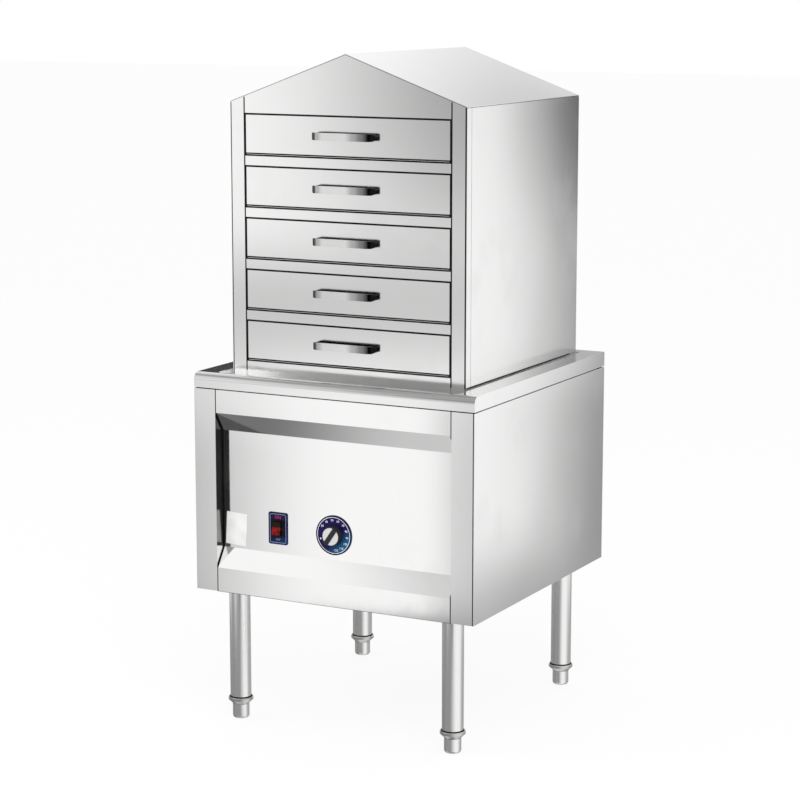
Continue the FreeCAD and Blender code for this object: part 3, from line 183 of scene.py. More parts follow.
def worn_edges(graph):
    """1 on outer edges that hands and cloths have rubbed; the lighter colour laid there is partly
    wear and partly a painted highlight.
    """
    rounded_normal = graph.add("Bevel", {"Radius": 0.0012}, samples=4)
    flat_normal = graph.add("NewGeometry", out="Normal")
    agreement = graph.add("VectorMath", {0: rounded_normal, 1: flat_normal}, out="Value",
                          operation="DOT_PRODUCT")
    return graph.map(agreement, 0.8, 1.0, 1, 0)


def steel(name, colour, roughness, along, wave=0.35, grain=0.05, reach=0.006,
          shade=(0.2, 0.62), layers=()):
    """Stainless sheet: fine grain along one axis, faint waviness, wiped smudges, worn edges that are
    partly a painted highlight, and painted shade where less of the surroundings can be seen within
    reach than the shade range says. Each layer is a function that changes the shader's values
    further."""
    material, graph = new_material(name)
    stretch = tuple(GRAIN_ALONG if axis == along else GRAIN_ACROSS for axis in "xyz")
    fine = graph.noise(1.0, stretch, detail=2)
    smudge = graph.map(graph.noise(7.0, detail=5, rough=0.6), 0.5, 0.75, 0, 1, smooth=True)
    worn_highlit = worn_edges(graph)

    rough = graph.math("MULTIPLY_ADD", fine, grain, roughness - grain / 2)
    rough = graph.math("MULTIPLY_ADD", smudge, 0.05, rough)
    rough = graph.math("MULTIPLY_ADD", worn_highlit, 0.15, rough)

    tone = graph.mix(graph.math("MULTIPLY", smudge, 0.25), solid(colour), solid(colour, 0.93))
    tone = graph.mix(graph.math("MULTIPLY", fine, 0.18), tone, solid(colour, 0.86))
    # rubbed edges: wear, and a lighter colour that paints a highlight along them
    tone = graph.mix(graph.math("MULTIPLY", worn_highlit, 0.5), tone, solid(RUBBED_HIGHLIGHT))
    # painted shade: the colour goes nearly black where little is open within reach, in seams, corners
    # and gaps
    openness_for_shade = graph.add("AmbientOcclusion", {"Distance": reach}, out="AO", samples=8)
    tone = graph.mix(graph.map(openness_for_shade, *shade, 1, 0), tone, solid(PAINTED_SHADE_BLACK))

    wavy = graph.bump(graph.noise(2.6, detail=1), wave, 0.004)
    values = {"Base Color": tone, "Metallic": 1.0, "Roughness": rough,
              "Normal": graph.bump(fine, 0.02, 0.0004, wavy)}
    for layer in layers:
        layer(graph, values)
    finish_material(graph, values)
    return material


# painted reflection: brightness along a handle, from its left bend to its right one
HANDLE_PAINTED_SHEEN = ((0.02, 0.01), (0.06, 0.10), (0.14, 0.60), (0.22, 0.95), (0.55, 1.0), (0.68, 0.60),
             (0.80, 0.30), (0.89, 0.10), (0.93, 0.01))


def hand_polish(graph, values):
    """Painted reflection: bright along the middle of the strap and dark towards both bends."""
    low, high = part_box("drawer_1_handle")
    margin = 2.5 * MM
    along = graph.map(graph.split(graph.coordinates())["X"], low.x - margin, high.x + margin, 0, 1)
    # painted reflection, laid into the base colour by place along the strap
    painted_sheen = graph.ramp(along, HANDLE_PAINTED_SHEEN)
    values["Base Color"] = graph.mix(1.0, values["Base Color"], painted_sheen, blend="MULTIPLY")


def dull_returns(graph, values):
    """Painted shade: the edges folded back beside the recess are darkened above its lower slope."""
    slope_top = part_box("control_panel")[0].z + 90 * MM
    blur = 3 * MM
    facing = graph.split(graph.add("NewGeometry", out="Normal"))["X"]
    shaded_aside = graph.map(graph.math("ABSOLUTE", facing), 0.6, 0.8, 0, 0.65)
    height = graph.split(graph.coordinates())["Z"]
    upper = graph.map(height, slope_top - blur, slope_top + blur, 0, 1)
    # painted shade on the returns that face sideways
    values["Base Color"] = graph.mix(graph.math("MULTIPLY", shaded_aside, upper), values["Base Color"],
                                     solid(PAINTED_DARK))


def dull_fold(graph, values):
    """Painted shade: a rolled edge is darkened where it bends between its front and its top."""
    tilt = graph.split(graph.add("NewGeometry", out="Normal"))["Z"]
    shaded_bend = graph.math("MULTIPLY", graph.map(tilt, 0.1, 0.3, 0, 0.3),
                      graph.map(tilt, 0.93, 0.99, 1, 0))
    # painted shade on the bend
    values["Base Color"] = graph.mix(shaded_bend, values["Base Color"], solid(PAINTED_DARK))


def scale_film(left, left_share, right, right_share, top):
    """Layer of white scale that covers a share of the metal between two places, up to a height."""
    def layer(graph, values):
        place = graph.split(graph.coordinates())
        share = graph.map(place["X"], left, right, left_share, right_share, smooth=True)
        low = graph.map(place["Z"], top - 3 * MM, top + 2 * MM, 1, 0, smooth=True)
        values["Metallic"] = graph.math("SUBTRACT", 1.0, graph.math("MULTIPLY", share, low))
    return layer


SPLASH_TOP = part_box("deck")[1].z + 3.4 * MM
splashed = scale_film(left=-0.21, left_share=0.95, right=-0.12, right_share=0.0, top=SPLASH_TOP)
tank_scale = scale_film(left=-0.25, left_share=0.85, right=0.15, right_share=0.25,
                        top=cad_box[1][2])

sheet_front = steel("sheet_front", BRIGHT, 0.13, "x")
sheet_drawer = steel("sheet_drawer", BRIGHT, 0.15, "x", wave=0.5)
sheet_side = steel("sheet_side", BRIGHT, 0.17, "z")
sheet_panel = steel("sheet_panel", BRIGHT, 0.07, "z", wave=0.25, grain=0.03)
sheet_deck = steel("sheet_deck", BRIGHT, 0.16, "x", layers=[dull_fold])
sheet_inner = steel("sheet_inner", SATIN, 0.30, "y")
sheet_tank = steel("sheet_tank", BRIGHT, 0.55, "x", wave=0.1, layers=[tank_scale])
sheet_rail = steel("sheet_rail", BRIGHT, 0.13, "x", layers=[splashed])
sheet_post = steel("sheet_post", BRIGHT, 0.17, "z", layers=[splashed])
sheet_base_post = steel("sheet_base_post", BRIGHT, 0.17, "z", layers=[dull_returns])
# its wide reach paints shade on the strap's back and in the gap behind it
handle_strap = steel("handle_strap", BRIGHT, 0.20, "x", wave=0.0, grain=0.06, reach=0.03,
                     shade=(0.48, 0.72), layers=[hand_polish])
worn_collar = steel("worn_collar", (0.62, 0.62, 0.61), 0.32, "z", wave=0.0)
tube = steel("tube", SATIN, 0.22, "z", wave=0.0, grain=0.08)
turned = steel("turned", SATIN, 0.26, "x", wave=0.0)
sheath = steel("sheath", (0.32, 0.30, 0.28), 0.45, "y", wave=0.0)
copper = steel("copper", (0.72, 0.38, 0.22), 0.30, "y", wave=0.0)
brass = steel("brass", (0.70, 0.52, 0.24), 0.30, "x", wave=0.0)


# ---- plastic, rubber, ink and paper --------------------------------------------------------------

def moulded(name, colour, roughness, speckle=900.0, glow=0.0, gloss=0.5):
    """Moulded or painted surface with a fine grain, faint tone variation and dust; a glow, where
    given, is painted light.
    """
    material, graph = new_material(name)
    cloud = graph.noise(25.0, detail=4)
    dusty = tuple(value * 0.8 + 0.012 for value in colour)
    values = {"Base Color": graph.mix(graph.map(cloud, 0.35, 0.7, 0, 1), solid(colour), solid(dusty)),
              "Roughness": graph.math("MULTIPLY_ADD", cloud, 0.16, roughness - 0.08),
              "Specular IOR Level": gloss,
              "Normal": graph.bump(graph.noise(speckle, detail=2), 0.12, 0.0002)}
    # painted light: the surface shines a little by itself
    if glow:
        values["Emission Color"] = solid(colour)
        values["Emission Strength"] = glow
    finish_material(graph, values)
    return material


def enamel(name, plate, span, upper_left, lower_right):
    """Printed plate that shades from one blue at its upper left to another at its lower right,
    over a span either way from its middle."""
    material, graph = new_material(name)
    low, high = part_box(plate)
    x, z = (low.x + high.x) / 2, (low.z + high.z) / 2
    place = graph.split(graph.coordinates())
    across = graph.map(place["X"], x - span, x + span, -0.5, 0.5)
    down = graph.map(place["Z"], z - span, z + span, 0.5, -0.5)
    blend = graph.map(graph.math("ADD", across, down), 0.05, 0.75, 0, 1, smooth=True)
    values = {"Base Color": graph.mix(blend, solid(upper_left), solid(lower_right)),
              "Roughness": graph.math("MULTIPLY_ADD", graph.noise(60.0), 0.12, 0.22),
              "Specular IOR Level": 0.12,
              "Normal": graph.bump(graph.noise(1500.0), 0.05, 0.0001)}
    finish_material(graph, values)
    return material


def rocker_plastic(name, rocker, lit, smoke_and_shade):
    """Smoky translucent red: painted light makes the pressed lower half red, painted shade makes it
    nearly black above and on the flanks.
    """
    material, graph = new_material(name)
    low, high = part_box(rocker)
    middle = (low.z + high.z) / 2
    height = graph.split(graph.coordinates())["Z"]
    upper = graph.map(height, middle + 1 * MM, middle + 5 * MM, 0, 1, smooth=True)
    facing = graph.split(graph.add("NewGeometry", out="Normal"))["X"]
    shaded_flank = graph.map(graph.math("ABSOLUTE", facing), 0.3, 0.7, 0, 1)
    cloud = graph.noise(160.0, detail=4)
    # painted light and shade: red where lit, nearly black where shaded
    shade = graph.mix(graph.math("MAXIMUM", upper, shaded_flank), solid(lit), solid(smoke_and_shade))
    values = {"Base Color": graph.mix(graph.map(cloud, 0.4, 0.62, 0, 0.85), shade, solid(smoke_and_shade)),
              "Roughness": graph.math("MULTIPLY_ADD", cloud, 0.15, 0.2),
              "Specular IOR Level": 0.12,
              "Normal": graph.bump(cloud, 0.1, 0.0002)}
    finish_material(graph, values)
    return material


black_plastic = moulded("black_plastic", (0.016, 0.018, 0.018), 0.42, gloss=0.2)
well_plastic = moulded("well_plastic", (0.006, 0.006, 0.008), 0.5, gloss=0.06)
# black for the drawer gaskets, and painted shade for strips and rings in seams, gaps and grooves
shade_black = moulded("shade_black", (0.004, 0.004, 0.004), 0.85, gloss=0.1)
grey_plastic = moulded("grey_plastic", (0.07, 0.075, 0.08), 0.55)
white_plastic = moulded("white_plastic", (0.76, 0.74, 0.68), 0.5)
# the red is the painted lit colour, the near black the painted shade and smoke
red_plastic = rocker_plastic("red_plastic", "switch_rocker", (0.26, 0.005, 0.007),
                             (0.010, 0.005, 0.004))
dial_blue = enamel("dial_blue", "dial_plate", 0.0385, (0.011, 0.005, 0.07), (0.004, 0.13, 0.26))
plate_blue = enamel("plate_blue", "switch_plate", 0.03, (0.006, 0.007, 0.045),
                    (0.006, 0.022, 0.10))
# the white print glows a little: painted light
print_white = moulded("print_white", (0.82, 0.83, 0.92), 0.4, glow=0.15)
print_pale = moulded("print_pale", (0.26, 0.32, 0.48), 0.4)
# the red print glows a little: painted light
print_red = moulded("print_red", (0.58, 0.02, 0.10), 0.4, glow=0.12, gloss=0.1)
print_navy = moulded("print_navy", (0.010, 0.010, 0.045), 0.5, gloss=0.06)
paper = moulded("paper", (0.86, 0.86, 0.85), 0.75, speckle=2500.0)


# ---- which piece is made of what ---------------------------------------------------------------

BY_DRAWER_PART = {"front": sheet_drawer, "handle": handle_strap, "tray": sheet_inner}
BY_PREFIX = {
    "base_post": sheet_base_post, "side_panel": sheet_side, "rear_panel": sheet_side,
    "bottom_panel": sheet_inner, "control_panel": sheet_panel, "deck": sheet_deck,
    "water_tank": sheet_tank, "support_frame": sheet_tank, "heater": sheath,
    "thermostat_body": black_plastic, "thermostat_shaft": turned, "thermostat_bulb": copper,
    "dial_plate": dial_blue, "dial_knob": black_plastic, "switch_plate": plate_blue,
    "switch_housing": well_plastic, "switch_rocker": red_plastic, "contactor": grey_plastic,
    "terminal_block": white_plastic, "cable_gland": black_plastic, "drain_pipe": tube,
    "drain_valve_body": brass, "drain_valve_lever": turned, "leg_": tube,
    "leg_sockets": sheet_inner, "leg_collars": worn_collar, "foot_": turned,
    "cabinet_post": sheet_post, "cabinet_side": sheet_side, "cabinet_rear": sheet_side,
    "gable_front": sheet_front, "roof": sheet_front, "cabinet_front_rails": sheet_rail,
    "drawer_runners": sheet_inner,
}


def material_of(name):
    """Drawer parts go by the end of their name, all others by the longest prefix that fits."""
    last_word = name.split("_")[-1]
    if name.startswith("drawer_") and last_word in BY_DRAWER_PART:
        return BY_DRAWER_PART[last_word]
    return BY_PREFIX[max((prefix for prefix in BY_PREFIX if name.startswith(prefix)), key=len)]


for name, node in nodes.items():
    for slot in node.material_slots:
        slot.material = material_of(name)


# ---- forms, all in millimetres -----------------------------------------------------------------

def piece(name, form, body, material, place=Matrix.Identity(4), edge=None, edge_steps=2):
    """Makes closed forms into a piece that rides on a body; edge is the width of its bevels."""
    bmesh.ops.recalc_face_normals(form, faces=form.faces)
    form.transform(Matrix.Scale(MM, 4) @ place)
    mesh = bpy.data.meshes.new(name)
    form.to_mesh(mesh)
    form.free()
    made = bpy.data.objects.new(name, mesh)
    scene.collection.objects.link(made)
    mesh.materials.append(material)
    if edge:
        bevel = made.modifiers.new("edge", "BEVEL")
        bevel.width = edge * MM
        bevel.segments = edge_steps
    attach(made, body)


def swept(form, rings, closed=False):
    """Adds a skin through rings of as many points each, capped unless it meets itself again."""
    rows = [[form.verts.new(point) for point in ring] for ring in rings]
    following = rows[1:] + rows[:1] if closed else rows[1:]
    for lower, upper in zip(rows, following):
        for index in range(len(lower)):
            after = (index + 1) % len(lower)
            form.faces.new((lower[index], lower[after], upper[after], upper[index]))
    if not closed:
        form.faces.new(rows[0])
        form.faces.new(rows[-1])


def arc(radius, start, end, count):
    """Points on an arc; angles run clockwise from straight up, in degrees."""
    angles = [math.radians(start + (end - start) * step / (count - 1)) for step in range(count)]
    return [(radius * math.sin(angle), radius * math.cos(angle)) for angle in angles]


def circle(radius, count, middle=(0, 0)):
    points = arc(radius, 0, 360 - 360 / count, count)
    return [(x + middle[0], y + middle[1]) for x, y in points]


def rounded(width, height, radius, count=6):
    """Corner points of a rectangle with round corners, clockwise from the top."""
    points = []
    for quarter, (x, y) in enumerate(((1, 1), (1, -1), (-1, -1), (-1, 1))):
        middle = (x * (width / 2 - radius), y * (height / 2 - radius))
        for dx, dy in arc(radius, quarter * 90, quarter * 90 + 90, count):
            points.append((middle[0] + dx, middle[1] + dy))
    return points


def extruded(form, outline, low, high):
    """Adds a flat outline in the XY plane between two heights."""
    swept(form, [[(x, y, height) for x, y in outline] for height in (low, high)])


def band(form, outer, inner, thickness):
    """Adds the flat line between two outlines that have as many points each."""
    swept(form, [((*outside, 0), (*inside, 0), (*inside, thickness), (*outside, thickness))
                 for outside, inside in zip(outer, inner)], closed=True)


def bar(form, x_range, y_range, z_range):
    """Adds a straight strip."""
    (left, right), (front, rear), (bottom, top) = x_range, y_range, z_range
    outline = ((left, bottom), (right, bottom), (right, top), (left, top))
    swept(form, [[(x, y, z) for x, z in outline] for y in (front, rear)])


def turned_form(form, profile, count, place):
    """Adds a surface of revolution about local Z through (radius, height) points."""
    swept(form, [[place @ Vector((x, y, height)) for x, y in circle(radius, count)]
                 for radius, height in profile])


def lettering(form, text, middle, size, height):
    """Adds a word in Blender's own font, centred in the local XY plane."""
    curve = bpy.data.curves.new("word", "FONT")
    curve.body = text
    curve.size = size
    curve.align_x = "CENTER"
    curve.align_y = "CENTER"
    curve.extrude = height / 2
    curve.resolution_u = 3
    word = bpy.data.objects.new("word", curve)
    scene.collection.objects.link(word)
    bpy.context.view_layer.update()
    mesh = bpy.data.meshes.new_from_object(word)
    mesh.transform(Matrix.Translation((*middle, height / 2)))
    form.from_mesh(mesh)
    bpy.data.meshes.remove(mesh)
    bpy.data.objects.remove(word)
    bpy.data.curves.remove(curve)


def on_front(name):
    """Place at the middle of a CAD node's front face, with local Z towards the front."""
    low, high = box(name)
    return Matrix.Translation(((low.x + high.x) / 2, low.y, (low.z + high.z) / 2)) @ FRONT


PRINT = 0.08                      # thickness of printed ink


# ---- dial and knob -----------------------------------------------------------------------------

DIAL_RADIUS = 38.5
TEMPERATURES = range(30, 121, 10)
FIRST_MARK, MARK_STEP = -57, 25.3         # degrees clockwise from straight up
MARK_RADIUS, DOT_RADIUS = 29.2, 29.5
CIRCLE_POINTS = 144
KNOB_TURN = 35                            # degrees clockwise from straight up


def at_mark(step, radius):
    """Middle of the mark that stands a number of steps after the first."""
    angle = math.radians(FIRST_MARK + MARK_STEP * step)
    return radius * math.sin(angle), radius * math.cos(angle)


def dial_print():
    """White line round the dial, the temperatures and the dot that marks off."""
    outer, inner = DIAL_RADIUS - 3.1, DIAL_RADIUS - 4.0
    dot, steps_before = 1.6, 2
    form = bmesh.new()
    band(form, circle(outer, CIRCLE_POINTS), circle(inner, CIRCLE_POINTS), PRINT)
    for step, temperature in enumerate(TEMPERATURES):
        lettering(form, str(temperature), at_mark(step, MARK_RADIUS), 6.0, PRINT)
    extruded(form, circle(dot, 24, at_mark(-steps_before, DOT_RADIUS)), 0, PRINT)
    piece("dial_print", form, "base", print_white, on_front("dial_plate"))


def dial_edge():
    """Dark line along the dial's rim."""
    outer, inner = DIAL_RADIUS - 0.1, DIAL_RADIUS - 2.9
    form = bmesh.new()
    band(form, circle(outer, CIRCLE_POINTS), circle(inner, CIRCLE_POINTS), PRINT)
    piece("dial_edge", form, "base", print_navy, on_front("dial_plate"))


def knob_cap():
    """Spun metal cap, in two halves beside the grip bar."""
    radius = 16.8
    half_grip = 4.0
    behind_grip = 5.0
    thickness = 0.5
    edge = math.degrees(math.asin(half_grip / radius))
    half_disc = arc(radius, edge, 180 - edge, 40)
    form = bmesh.new()
    for side in (-1, 1):
        outline = [(x * side, y) for x, y in half_disc]
        extruded(form, outline, -behind_grip, thickness - behind_grip)
    place = on_front("dial_knob") @ Matrix.Rotation(math.radians(-KNOB_TURN), 4, "Z")
    piece("knob_cap", form, "thermostat_knob", turned, place, edge=0.2, edge_steps=1)


# ---- switch ------------------------------------------------------------------------------------

def switch_border():
    """Pale line round the switch plate, and the word for its lower position."""
    low, high = box("switch_plate")
    width, height = high.x - low.x, high.z - low.z
    margin, line = 6.4, 1.8                   # both sides together
    word_below = (0, -22.0)
    form = bmesh.new()
    band(form, rounded(width - margin, height - margin, 3.4),
         rounded(width - margin - line, height - margin - line, 2.6), PRINT)
    lettering(form, "OFF", word_below, 5.6, PRINT)
    piece("switch_border", form, "base", print_pale, on_front("switch_plate"))


def switch_word():
    """Red word for the upper position."""
    word_above = (0, 21.6)
    form = bmesh.new()
    lettering(form, "ON", word_above, 8.4, PRINT * 2)
    piece("switch_word", form, "base", print_red, on_front("switch_plate"))


# ---- control panel -----------------------------------------------------------------------------

PANEL_LOW, PANEL_HIGH = box("control_panel")
BAND = 47                    # height of the flat bands along the panel's bottom and top
SLOPE = 37                   # height of the slopes between the bands and the recess
RECESS = 25                  # depth of the recess
SUNK = 0.05                  # how far a seam starts behind the face that it lies on


def blank_tag():
    """Bare paper tag stuck low at the panel's left, a little crooked, with one lifted corner."""
    width, height = 46, 64
    columns, rows = 8, 10
    lift, flat_share = 0.5, 0.8
    gap, thickness = 0.25, 0.15
    form = bmesh.new()
    rings = []
    for column in range(columns + 1):
        x = (column / columns - 0.5) * width
        near = []
        for row in range(rows + 1):
            y = (row / rows - 0.5) * height
            raised = lift * max(0, column / columns - flat_share) * row / rows
            near.append((x, y, gap + raised))
        rings.append(near + [(x, y, z - thickness) for x, y, z in reversed(near)])
    swept(form, rings)
    spot = Matrix.Translation((PANEL_LOW.x + 27.8, PANEL_LOW.y + RECESS, PANEL_LOW.z + 122))
    place = spot @ FRONT @ Matrix.Rotation(math.radians(-3), 4, "Z")
    piece("blank_tag", form, "base", paper, place)


def base_sealant():
    """Black strips as painted shade in the seams between the panel and both posts, and down the right
    corner.
    """
    panel_end, post_edge = PANEL_HIGH.x, box("base_post_right")[0].x
    face = PANEL_LOW.y
    sloping = ((PANEL_LOW.z + BAND, 0), (PANEL_LOW.z + BAND + SLOPE, RECESS),
               (PANEL_HIGH.z - BAND - SLOPE, RECESS), (PANEL_HIGH.z - BAND, 0))
    inner, outer = panel_end - 0.6, post_edge + 0.4
    filling = (face + 0.02, face + 1.0)
    form = bmesh.new()
    for side in (-1, 1):
        rings = []
        for height, depth in sloping:
            proud = 0.25 if depth else 0
            section = ((inner, SUNK), (inner, -proud), (outer, -proud), (outer, SUNK))
            rings.append([(side * x, face + depth + y, height) for x, y in section])
        swept(form, rings)
        gap = sorted((side * (panel_end + SUNK), side * (post_edge - SUNK)))
        for ends in ((PANEL_LOW.z, PANEL_LOW.z + BAND), (PANEL_HIGH.z - BAND, PANEL_HIGH.z)):
            bar(form, gap, filling, ends)
    post_side = box("base_post_right")[1].x
    corner = (post_side - 0.3, post_side + 2.1)
    bar(form, corner, (face + SUNK, face + 0.4), (PANEL_LOW.z, PANEL_HIGH.z))
    piece("base_sealant", form, "base", shade_black)


def base_hem():
    """Dark hem strip under the panel's bottom edge: painted shade."""
    overlap = 1.7
    width = (PANEL_LOW.x - overlap, PANEL_HIGH.x + overlap)
    depth = (PANEL_LOW.y + 0.1, PANEL_LOW.y + 1.6)
    height = (PANEL_LOW.z - 0.7, PANEL_LOW.z + 0.2)
    form = bmesh.new()
    bar(form, width, depth, height)
    piece("base_hem", form, "base", shade_black)


def base_weld():
    """Ground weld down the left corner."""
    post_side = box("base_post_left")[0].x
    corner = (post_side - 2.15, post_side + 0.4)
    depth = (PANEL_LOW.y + 0.02, PANEL_LOW.y + 0.4)
    form = bmesh.new()
    bar(form, corner, depth, (PANEL_LOW.z, PANEL_HIGH.z))
    piece("base_weld", form, "base", sheet_side, edge=0.1)


# ---- cabinet and drawers -----------------------------------------------------------------------

def cabinet_sealant():
    """Black strips as painted shade in the seams between rails and posts, down the right corner and
    round the right foot.
    """
    rail_end, face = box("cabinet_front_rails")[1].x, box("cabinet_front_rails")[0].y
    post_low, post_high = box("cabinet_post_right")
    deck_top = box("deck")[1].z
    proud = (face - 0.3, face + SUNK)
    start = deck_top + 1.4
    seam_top, corner_top = 1217, 1208
    corner = (post_high.x - 0.8, post_high.x + 2.0)
    foot = (post_high.x + 1.9, post_high.x + 3.4)
    form = bmesh.new()
    for side in (-1, 1):
        seam = sorted((side * (rail_end - 0.7), side * (post_low.x + 1.1)))
        bar(form, seam, proud, (start, seam_top))
    bar(form, corner, proud, (start, corner_top))
    bar(form, foot, (face + 2, -face), (deck_top + 0.2, deck_top + 2.2))
    piece("cabinet_sealant", form, "cabinet", shade_black, edge=0.12)


def drawer_gasket(number):
    """Black gasket round a drawer's front, which also stands in as painted shade in the gaps round
    it.
    """
    low, high = box(f"drawer_{number}_front")
    depth = (low.y - 0.25, low.y + 5.0)
    overlap, overlap_below = 0.9, 0.3
    below, above, beside = 4.6, 2.0, 1.3
    bottom, top = low.z - below, high.z + above
    inside = (low.x + overlap, high.x - overlap)
    form = bmesh.new()
    bar(form, (low.x - beside, inside[0]), depth, (bottom, top))
    bar(form, (inside[1], high.x + beside), depth, (bottom, top))
    bar(form, inside, depth, (high.z - overlap, top))
    bar(form, inside, depth, (bottom, low.z + overlap_below))
    # gasket and painted shade in the gaps round the front
    piece(f"drawer_{number}_gasket", form, f"drawer_{number}", shade_black, edge=0.2)


def drawer_drip_lip(number):
    """Thin steel lip in the gasket below a drawer's front, not quite straight."""
    low, high = box(f"drawer_{number}_front")
    steps = 60
    margin = 2.0
    drop = 2.6
    section = ((-0.6, -0.35), (-0.6, 0.35), (0.6, 0.5), (0.6, -0.5))
    form = bmesh.new()
    rings = []
    for step in range(steps + 1):
        x = low.x + margin + (high.x - low.x - 2 * margin) * step / steps
        sag = 0.22 * math.sin(step * 0.9 + number) + 0.12 * math.sin(step * 2.3)
        rings.append([(x, low.y + y, low.z - drop + sag + z) for y, z in section])
    swept(form, rings)
    piece(f"drawer_{number}_drip_lip", form, f"drawer_{number}", turned)


# ---- legs and rear -----------------------------------------------------------------------------

def collar_seals():
    """Black ring where each leg enters its collar: painted shade in the groove there."""
    low, high = box("leg_front_left")
    radius = (high.x - low.x) / 2
    middle = (low + high) / 2
    profile = ((radius + 0.1, -0.3), (radius + 1.5, 0), (radius + 1.3, 1.1), (radius + 0.2, 2.2))
    form = bmesh.new()
    for x in (middle.x, -middle.x):
        for y in (middle.y, -middle.y):
            turned_form(form, profile, 64, Matrix.Translation((x, y, low.z)))
    piece("collar_seals", form, "base", shade_black)


def rear_screws():
    """Domed screws down both sides of the rear panel and along its bottom."""
    low, high = box("rear_panel")
    side_column, bottom_column = high.x - 13.5, 100
    first_row, row_step, rows = low.z + 35, 110, 4
    bottom_row = low.z + 15
    spots = [(side * side_column, first_row + row_step * row) for side in (-1, 1)
             for row in range(rows)]
    spots += [(side * bottom_column, bottom_row) for side in (-1, 1)]
    head = ((3.6, 0), (3.5, 0.9), (2.7, 1.7), (1.2, 2.1), (0.95, 1.3))
    form = bmesh.new()
    for x, z in spots:
        turned_form(form, head, 20, Matrix.Translation((x, high.y, z)) @ BACK)
    piece("rear_screws", form, "base", turned)


dial_print()
dial_edge()
knob_cap()
switch_border()
switch_word()
blank_tag()
cabinet_sealant()
base_sealant()
base_hem()
base_weld()
for number in range(1, 6):
    drawer_gasket(number)
    drawer_drip_lip(number)
collar_seals()
rear_screws()


# ---- floor, light and reflections, all in metres -------------------------------------------------

WHITE = (1, 1, 1, 1)
FLOOR_COLOUR = (0.9, 0.9, 0.89, 1)
FLOOR_LIFT = 0.88            # share of plain white that hides the floor's own shading
FLOOR_EXTENT = 30.0
FLOOR_HEIGHT = -0.0005
LEVEL_SEEN, LEVEL_LIGHTING = 1.0, 0.9     # the world as seen and as a source of light


def stage_object(name, form):
    """Makes a bmesh into an object of the stage; returns it with the graph of its material."""
    mesh = bpy.data.meshes.new(name)
    form.to_mesh(mesh)
    form.free()
    made = bpy.data.objects.new(name, mesh)
    scene.collection.objects.link(made)
    material, graph = new_material(name)
    mesh.materials.append(material)
    return made, graph


def flat_form(x_range, y_range, height):
    """One face between two corners."""
    (left, right), (front, rear) = x_range, y_range
    form = bmesh.new()
    corners = ((left, front), (right, front), (right, rear), (left, rear))
    form.faces.new([form.verts.new((x, y, height)) for x, y in corners])
    return form


def seen_directly(graph):
    """1 for rays from the camera, mirrors and glass."""
    path = graph.add("LightPath", out="Is Camera Ray").node
    direct = graph.math("MAXIMUM", path.outputs["Is Camera Ray"], path.outputs["Is Glossy Ray"])
    return graph.math("MAXIMUM", direct, path.outputs["Is Transmission Ray"])


def make_floor():
    """Wide pale floor that keeps only the object's shadow."""
    span = (-FLOOR_EXTENT, FLOOR_EXTENT)
    floor, graph = stage_object("floor", flat_form(span, span, FLOOR_HEIGHT))
    lit = graph.add("BsdfDiffuse", {"Color": FLOOR_COLOUR})
    white = graph.add("Emission", {"Color": WHITE, "Strength": 1.0})
    share = graph.math("MULTIPLY", seen_directly(graph), FLOOR_LIFT)
    graph.add("OutputMaterial", {"Surface": graph.add("MixShader", {0: share, 1: lit, 2: white})})
    floor.visible_glossy = False


def make_world():
    """White all round."""
    world = bpy.data.worlds.new("studio")
    scene.world = world
    world.use_nodes = True
    graph = Graph(world.node_tree)
    level = graph.math("MULTIPLY_ADD", seen_directly(graph), LEVEL_SEEN - LEVEL_LIGHTING,
                       LEVEL_LIGHTING)
    graph.add("OutputWorld", {"Surface": graph.add("Background", {"Color": WHITE,
                                                                  "Strength": level})})


# A card is a patch of the tent that only mirrors see. Angles run from the front by way of the
# left, in degrees; each card lies over the ones before it.
Card = namedtuple("Card", "angle half_width side_fade height half_height end_fade brightness")
CARDS = [
    Card(4, 8, 24, 1.36, 0.20, 0.66, 0.36),          # upper right of the front
    Card(22, 40, 20, 0.64, 0.03, 0.20, 0.60),        # strip across the front
    Card(50, 8, 18, -0.04, 0.30, 0.35, 0.40),        # low, left of the front
    Card(3, 9, 5, 0.14, 0.24, 0.12, 0.62),           # low, right of the front
    Card(203, 3, 9, 0.50, 0.90, 0.40, 0.20),         # behind the right side: all of its height,
    Card(203, 3, 13, -0.08, 0.42, 0.20, 0.24),       # beside the base,
    Card(208, 9, 6, -0.30, 0.10, 0.30, 0.30),        # beside the legs
    Card(205, 3, 8, 1.25, 0.10, 0.45, 0.06),         # and beside the cabinet's top
    Card(182, 5, 23, 1.88, 0.08, 0.36, 0.54),        # seen in the roof
    Card(25, 45, 20, 2.60, 0.50, 0.50, 0.50),        # seen in the deck's rolled front edge
    Card(90, 42, 10, 0.75, 0.50, 0.10, 0.35),        # grey for the left side and round edges
    Card(340, 10, 5, 0.60, 0.65, 0.10, 0.03),        # black for the recess's left wall
    Card(355, 5, 5, 0.75, 0.50, 0.10, 0.02),         # and for its corner
    Card(169, 5, 9, 0.95, 0.10, 0.15, 0.42),         # seen in the deck's right margin
    Card(139, 14, 5, 0.95, 0.25, 0.10, 0.03),        # and in its left one
    Card(60, 60, 60, -1.25, 1.11, 0.05, 0.30),       # left of the legs
    Card(210, 25, 40, -1.25, 1.00, 0.25, 0.42),      # right of the legs
    Card(20, 20, 15, -0.19, 0.05, 0.05, 0.24),       # in front of the legs' tops
]
TENT_RADIUS = 1.6
TENT_BOTTOM, TENT_TOP = -2.4, 3.2
TENT_SIDES = 72
STRIP_RIGHT = 0.6
STRIP_DIMMING = (-0.15, 0.15, 1.0, 0.35)      # from one place along X to another, and its levels


def mirror_sheet(name, form):
    """Stage object that only mirrors see; returns the graph of its material."""
    sheet, graph = stage_object(name, form)
    for kind in ("camera", "diffuse", "shadow", "transmission", "volume_scatter"):
        setattr(sheet, "visible_" + kind, False)
    return graph


def shine(graph, level):
    graph.add("OutputMaterial", {"Surface": graph.add("Emission", {"Color": level})})


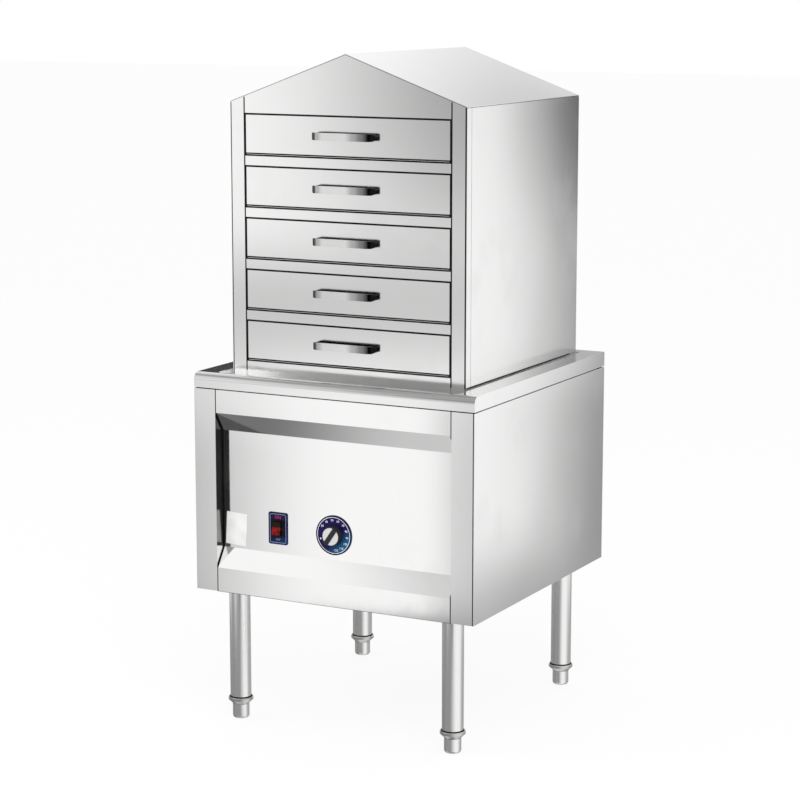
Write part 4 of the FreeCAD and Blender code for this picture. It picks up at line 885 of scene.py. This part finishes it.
def laid_over(graph, level, card, turning, height):
    """Brightness after a card is laid over a level; its borders fade."""
    apart = graph.math("WRAP", graph.math("SUBTRACT", turning, card.angle), 180, -180)
    across = graph.map(graph.math("ABSOLUTE", apart), card.half_width,
                       card.half_width + card.side_fade, 1, 0, smooth=True)
    above = graph.math("ABSOLUTE", graph.math("SUBTRACT", height, card.height))
    upright = graph.map(above, card.half_height, card.half_height + card.end_fade, 1, 0,
                        smooth=True)
    share = graph.math("MULTIPLY", across, upright)
    return graph.mix(share, level, solid((card.brightness,) * 3))


def make_tent():
    """White ring round the machine with the cards on it."""
    form = bmesh.new()
    lower, upper = ([form.verts.new((x, y, height)) for x, y in circle(TENT_RADIUS, TENT_SIDES)]
                    for height in (TENT_BOTTOM, TENT_TOP))
    for index in range(TENT_SIDES):
        after = (index + 1) % TENT_SIDES
        form.faces.new((lower[index], lower[after], upper[after], upper[index]))
    graph = mirror_sheet("tent", form)
    place = graph.split(graph.coordinates())
    left = graph.math("MULTIPLY", place["X"], -1.0)
    front = graph.math("MULTIPLY", place["Y"], -1.0)
    turning = graph.math("DIVIDE", graph.math("ARCTAN2", left, front), math.pi / 180)
    level = 1.0
    for card in CARDS:
        level = laid_over(graph, level, card, turning, place["Z"])
    shine(graph, level)


def tent_strip(name, height, y_range, x_fade, levels):
    """Grey strip below or above the machine, brighter towards its middle and dim at its right."""
    graph = mirror_sheet(name, flat_form((-TENT_RADIUS, STRIP_RIGHT), y_range, height))
    across = graph.split(graph.coordinates())["X"]
    rising = graph.map(across, *x_fade, *levels, smooth=True)
    falling = graph.map(across, *STRIP_DIMMING, smooth=True)
    shine(graph, graph.math("MULTIPLY", rising, falling))


def lamp(name, place, power, target=(0, 0, 0.6), size=2.4):
    """Square lamp that mirrors don't see."""
    light = bpy.data.lights.new(name, "AREA")
    light.shape = "SQUARE"
    light.size = size
    light.energy = power
    made = bpy.data.objects.new(name, light)
    made.location = place
    made.rotation_euler = (Vector(target) - Vector(place)).to_track_quat("-Z", "Y").to_euler()
    made.visible_glossy = False
    scene.collection.objects.link(made)


make_floor()
make_world()
make_tent()
tent_strip("tent_floor", height=-0.4, y_range=(-0.62, -0.3), x_fade=(-0.77, -0.32),
           levels=(0.18, 0.62))
tent_strip("tent_ceiling", height=TENT_TOP, y_range=(-TENT_RADIUS, TENT_RADIUS),
           x_fade=(-1.0, -0.2), levels=(0.55, 0.60))
lamp("key", place=(1.8, -2.6, 3.2), power=60)
lamp("fill", place=(-2.6, -1.8, 2.4), power=25)
